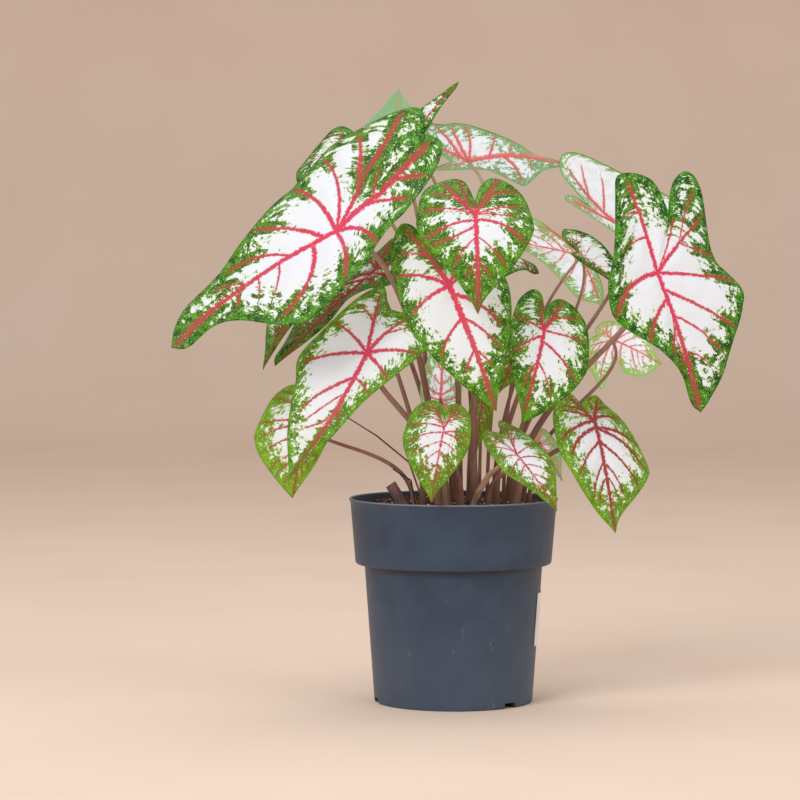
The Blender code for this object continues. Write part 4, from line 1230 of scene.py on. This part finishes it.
def soil_height(x, y):
    """The height of the mix at a place, in millimetres."""
    edge = inner_radius(SOIL_TOP) - SOIL_EDGE_CLEARANCE
    share = min(math.hypot(x, y) / edge, 1.0)
    rough = 0.0
    for scale, seed, height in SOIL_ROUGHNESS:
        rough += noise.noise(Vector((x * scale, y * scale, seed))) * height
    return SOIL_TOP + SOIL_CROWN * (1.0 - share * share) + rough * min(1.0, (1.0 - share) * 12.0 + 0.35)


def make_soil():
    edge = inner_radius(SOIL_TOP) - SOIL_EDGE_CLEARANCE
    bm = bmesh.new()
    bmesh.ops.create_grid(bm, x_segments=SOIL_COLUMNS, y_segments=SOIL_RINGS, size=0.5)
    for vert in bm.verts:
        angle = 2.0 * math.pi * (vert.co.x + 0.5)
        radius = edge * (vert.co.y + 0.5)
        x, y = radius * math.cos(angle), radius * math.sin(angle)
        vert.co = Vector((x, y, soil_height(x, y))) * MM
    bmesh.ops.remove_doubles(bm, verts=bm.verts, dist=1e-6)
    ledge = COLLAR_FOOT + POT_WALL + 0.4
    floor = FLOOR_UNDERSIDE + FLOOR_THICKNESS + 0.3
    levels = (
        (collar_radius(ledge) - POT_WALL - SOIL_EDGE_CLEARANCE, ledge + SOIL_EDGE_CLEARANCE),
        (outer_radius(ledge) - POT_WALL - SOIL_EDGE_CLEARANCE, ledge + SOIL_EDGE_CLEARANCE - 0.1),
        (outer_radius(floor) - POT_WALL - SOIL_EDGE_CLEARANCE, floor),
    )
    for radius, height in levels:
        for vert in grow(bm, [one for one in bm.edges if one.is_boundary]):
            flat = Vector((vert.co.x, vert.co.y)).normalized() * radius * MM
            vert.co = Vector((flat.x, flat.y, height * MM))
    bmesh.ops.holes_fill(bm, edges=[one for one in bm.edges if one.is_boundary], sides=0)
    bmesh.ops.recalc_face_normals(bm, faces=bm.faces)
    bm_object("mix_body", bm, (soil_finish(),), ("soil",))


def scatter_spot(draw):
    edge = inner_radius(SOIL_TOP) - SCATTER_MARGIN
    angle = draw.uniform(0.0, 2.0 * math.pi)
    radius = edge * math.sqrt(draw.random())
    return radius * math.cos(angle), radius * math.sin(angle)


def make_chips():
    draw = random.Random(21)
    bm = bmesh.new()
    for _ in range(CHIP_COUNT):
        x, y = scatter_spot(draw)
        long_side = draw.uniform(2.0, 8.5)
        size = Vector((long_side, long_side * draw.uniform(0.25, 0.6), draw.uniform(0.6, 2.2)))
        verts = bmesh.ops.create_cube(bm, size=1.0)["verts"]
        turn = Matrix.Rotation(draw.uniform(0, math.pi * 2), 3, "Z")
        turn = turn @ Matrix.Rotation(draw.gauss(0, 0.35), 3, "Y") @ Matrix.Rotation(draw.gauss(0, 0.4), 3, "X")
        middle = Vector((x, y, soil_height(x, y) + draw.uniform(-0.3, 0.9)))
        for vert in verts:
            jitter = Vector((draw.uniform(0.6, 1.15), draw.uniform(0.6, 1.15), draw.uniform(0.6, 1.2)))
            vert.co = (turn @ (vert.co * size * jitter) + middle) * MM
    finish = grained_finish(
        "bark_chip", 0.9, ((74, 46, 34), (150, 104, 78), (60, 36, 28)), (150.0, 2.0, 0.36, 0.64),
        (3.0, 700.0, 3.0), (0.0006, 0.7), (0.5, 0.7), 0.2,
    )
    bm_object("bark_chips", bm, (finish,), (), smooth=False)


def make_perlite():
    draw = random.Random(33)
    bm = bmesh.new()
    for _ in range(PERLITE_COUNT):
        x, y = scatter_spot(draw)
        radius = draw.uniform(0.5, 1.5)
        verts = bmesh.ops.create_icosphere(bm, subdivisions=2, radius=1.0)["verts"]
        middle = Vector((x, y, soil_height(x, y) + radius * 0.6 + 0.8))
        for vert in verts:
            vert.co = (vert.co * radius * draw.uniform(0.8, 1.15) + middle) * MM
    finish = grained_finish(
        "perlite_grain", 0.85, ((238, 236, 230), (196, 190, 180)), (700.0, 3.0, 0.35, 0.7),
        (1.0, 700.0, 3.0), (0.0006, 0.8),
    )
    bm_object("perlite_grains", bm, (finish,), ())


# Pieces that keep the frame's own mesh

# The small growth at the crown, each piece with its darker and lighter tone
CROWN_TONES = (
    ("sheath", (170, 130, 102), (218, 186, 156)),
    ("cut_stub", (92, 62, 64), (134, 100, 102)),
    ("twig", (34, 27, 25), (58, 46, 42)),
    ("thin_stalk", (106, 66, 56), (150, 108, 88)),
)


def paint(name, finish):
    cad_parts[name].data.materials.clear()
    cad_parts[name].data.materials.append(finish)


def paint_small_pieces():
    paint("pot_label", grained_finish(
        "label_paper", 0.5, ((246, 246, 244), (232, 232, 230)), (40.0, 3.0, 0.35, 0.7),
        (1.0, 500.0, 3.0), (0.0002, 0.4),
    ))
    for name, dark, light in CROWN_TONES:
        paint(name, grained_finish(
            name + "_skin", 0.8, (dark, light, dark), (60.0, 2.0, 0.35, 0.65), (0.15, 900.0, 3.0, 0.6),
            (0.0006, 0.7), (0.45, 0.7),
        ))


# Stage, in metres

STAGE_REACH = 8.0
STAGE_BACK = 4.4
STAGE_CURVE = 1.2
STAGE_HEIGHT = 7.0
CAMERA_LENS = 130.0
CAMERA_PLACE = (0.0, -2.9, 0.42)
CAMERA_AIM = (-0.0538, 0.0, 0.303)
WORLD_COLOUR = (1.0, 0.985, 0.97, 1.0)
WORLD_STRENGTH = 0.45

# Each light's name, place, the height it aims at over the pot's middle, watts and size
LIGHTS = (
    ("key", (-1.6, -2.6, 2.6), 0.35, 56.0, 1.6),
    ("fill", (2.4, -2.0, 1.6), 0.3, 17.0, 2.2),
    ("top", (0.0, 0.6, 3.0), 0.3, 18.0, 2.0),
)


def stage_finish():
    finish = Finish("floor_paint", roughness=0.9, Specular_IOR_Level=0.1)
    tone = finish.noise(finish.place(), 3.0, 2.0)
    finish.colour(finish.mix(finish.step(tone, 0.3, 0.7), linear((252, 230, 212)), linear((250, 226, 208))))
    return finish.material


def make_stage():
    """A pale floor that curves up into a backdrop behind the plant."""
    bm = bmesh.new()
    path = [(-STAGE_REACH, 0.0), (STAGE_BACK, 0.0)]
    for turn in np.linspace(0.0, 0.5 * math.pi, 12)[1:]:
        path.append((STAGE_BACK + STAGE_CURVE * math.sin(turn), STAGE_CURVE * (1.0 - math.cos(turn))))
    path.append((STAGE_BACK + STAGE_CURVE, STAGE_HEIGHT))
    verts = [bm.verts.new((-STAGE_REACH, y, z)) for y, z in path]
    edges = [bm.edges.new(pair) for pair in zip(verts, verts[1:])]
    bmesh.ops.translate(bm, verts=grow(bm, edges), vec=(2.0 * STAGE_REACH, 0.0, 0.0))
    bmesh.ops.recalc_face_normals(bm, faces=bm.faces)
    mesh = mesh_of("studio_floor", bm)
    mesh.shade_smooth()
    mesh.materials.append(stage_finish())
    add("studio_floor", mesh)


def set_up(name, data, place, aim):
    """A light or a camera at a place, turned towards what it aims at."""
    item = add(name, data)
    item.location = place
    item.rotation_euler = (Vector(aim) - Vector(place)).to_track_quat("-Z", "Y").to_euler()
    return item


def make_camera():
    camera = bpy.data.cameras.new("camera")
    camera.lens = CAMERA_LENS
    camera.sensor_width = 36.0
    camera.clip_end = 50.0
    bpy.context.scene.camera = set_up("camera", camera, CAMERA_PLACE, CAMERA_AIM)


def light_studio():
    world = bpy.data.worlds.new("studio")
    bpy.context.scene.world = world
    bpy.context.scene.view_settings.view_transform = "Standard"
    world.use_nodes = True
    background = world.node_tree.nodes["Background"].inputs
    background["Color"].default_value = WORLD_COLOUR
    background["Strength"].default_value = WORLD_STRENGTH
    for name, place, height, watts, size in LIGHTS:
        light = bpy.data.lights.new(name, "AREA")
        light.energy = watts
        light.size = size
        set_up(name, light, place, (0.0, 0.0, height))


def main():
    make_camera()
    light_studio()
    make_stage()
    upper, under, rib, skin = upper_finish(), under_finish(), rib_finish(), petiole_finish()
    for number, leaf in enumerate(LEAVES):
        make_blade(number, leaf, upper, under, rib)
        make_petiole(leaf, skin)
    make_pot()
    make_soil()
    make_chips()
    make_perlite()
    paint_small_pieces()


main()
bpy.context.view_layer.update()
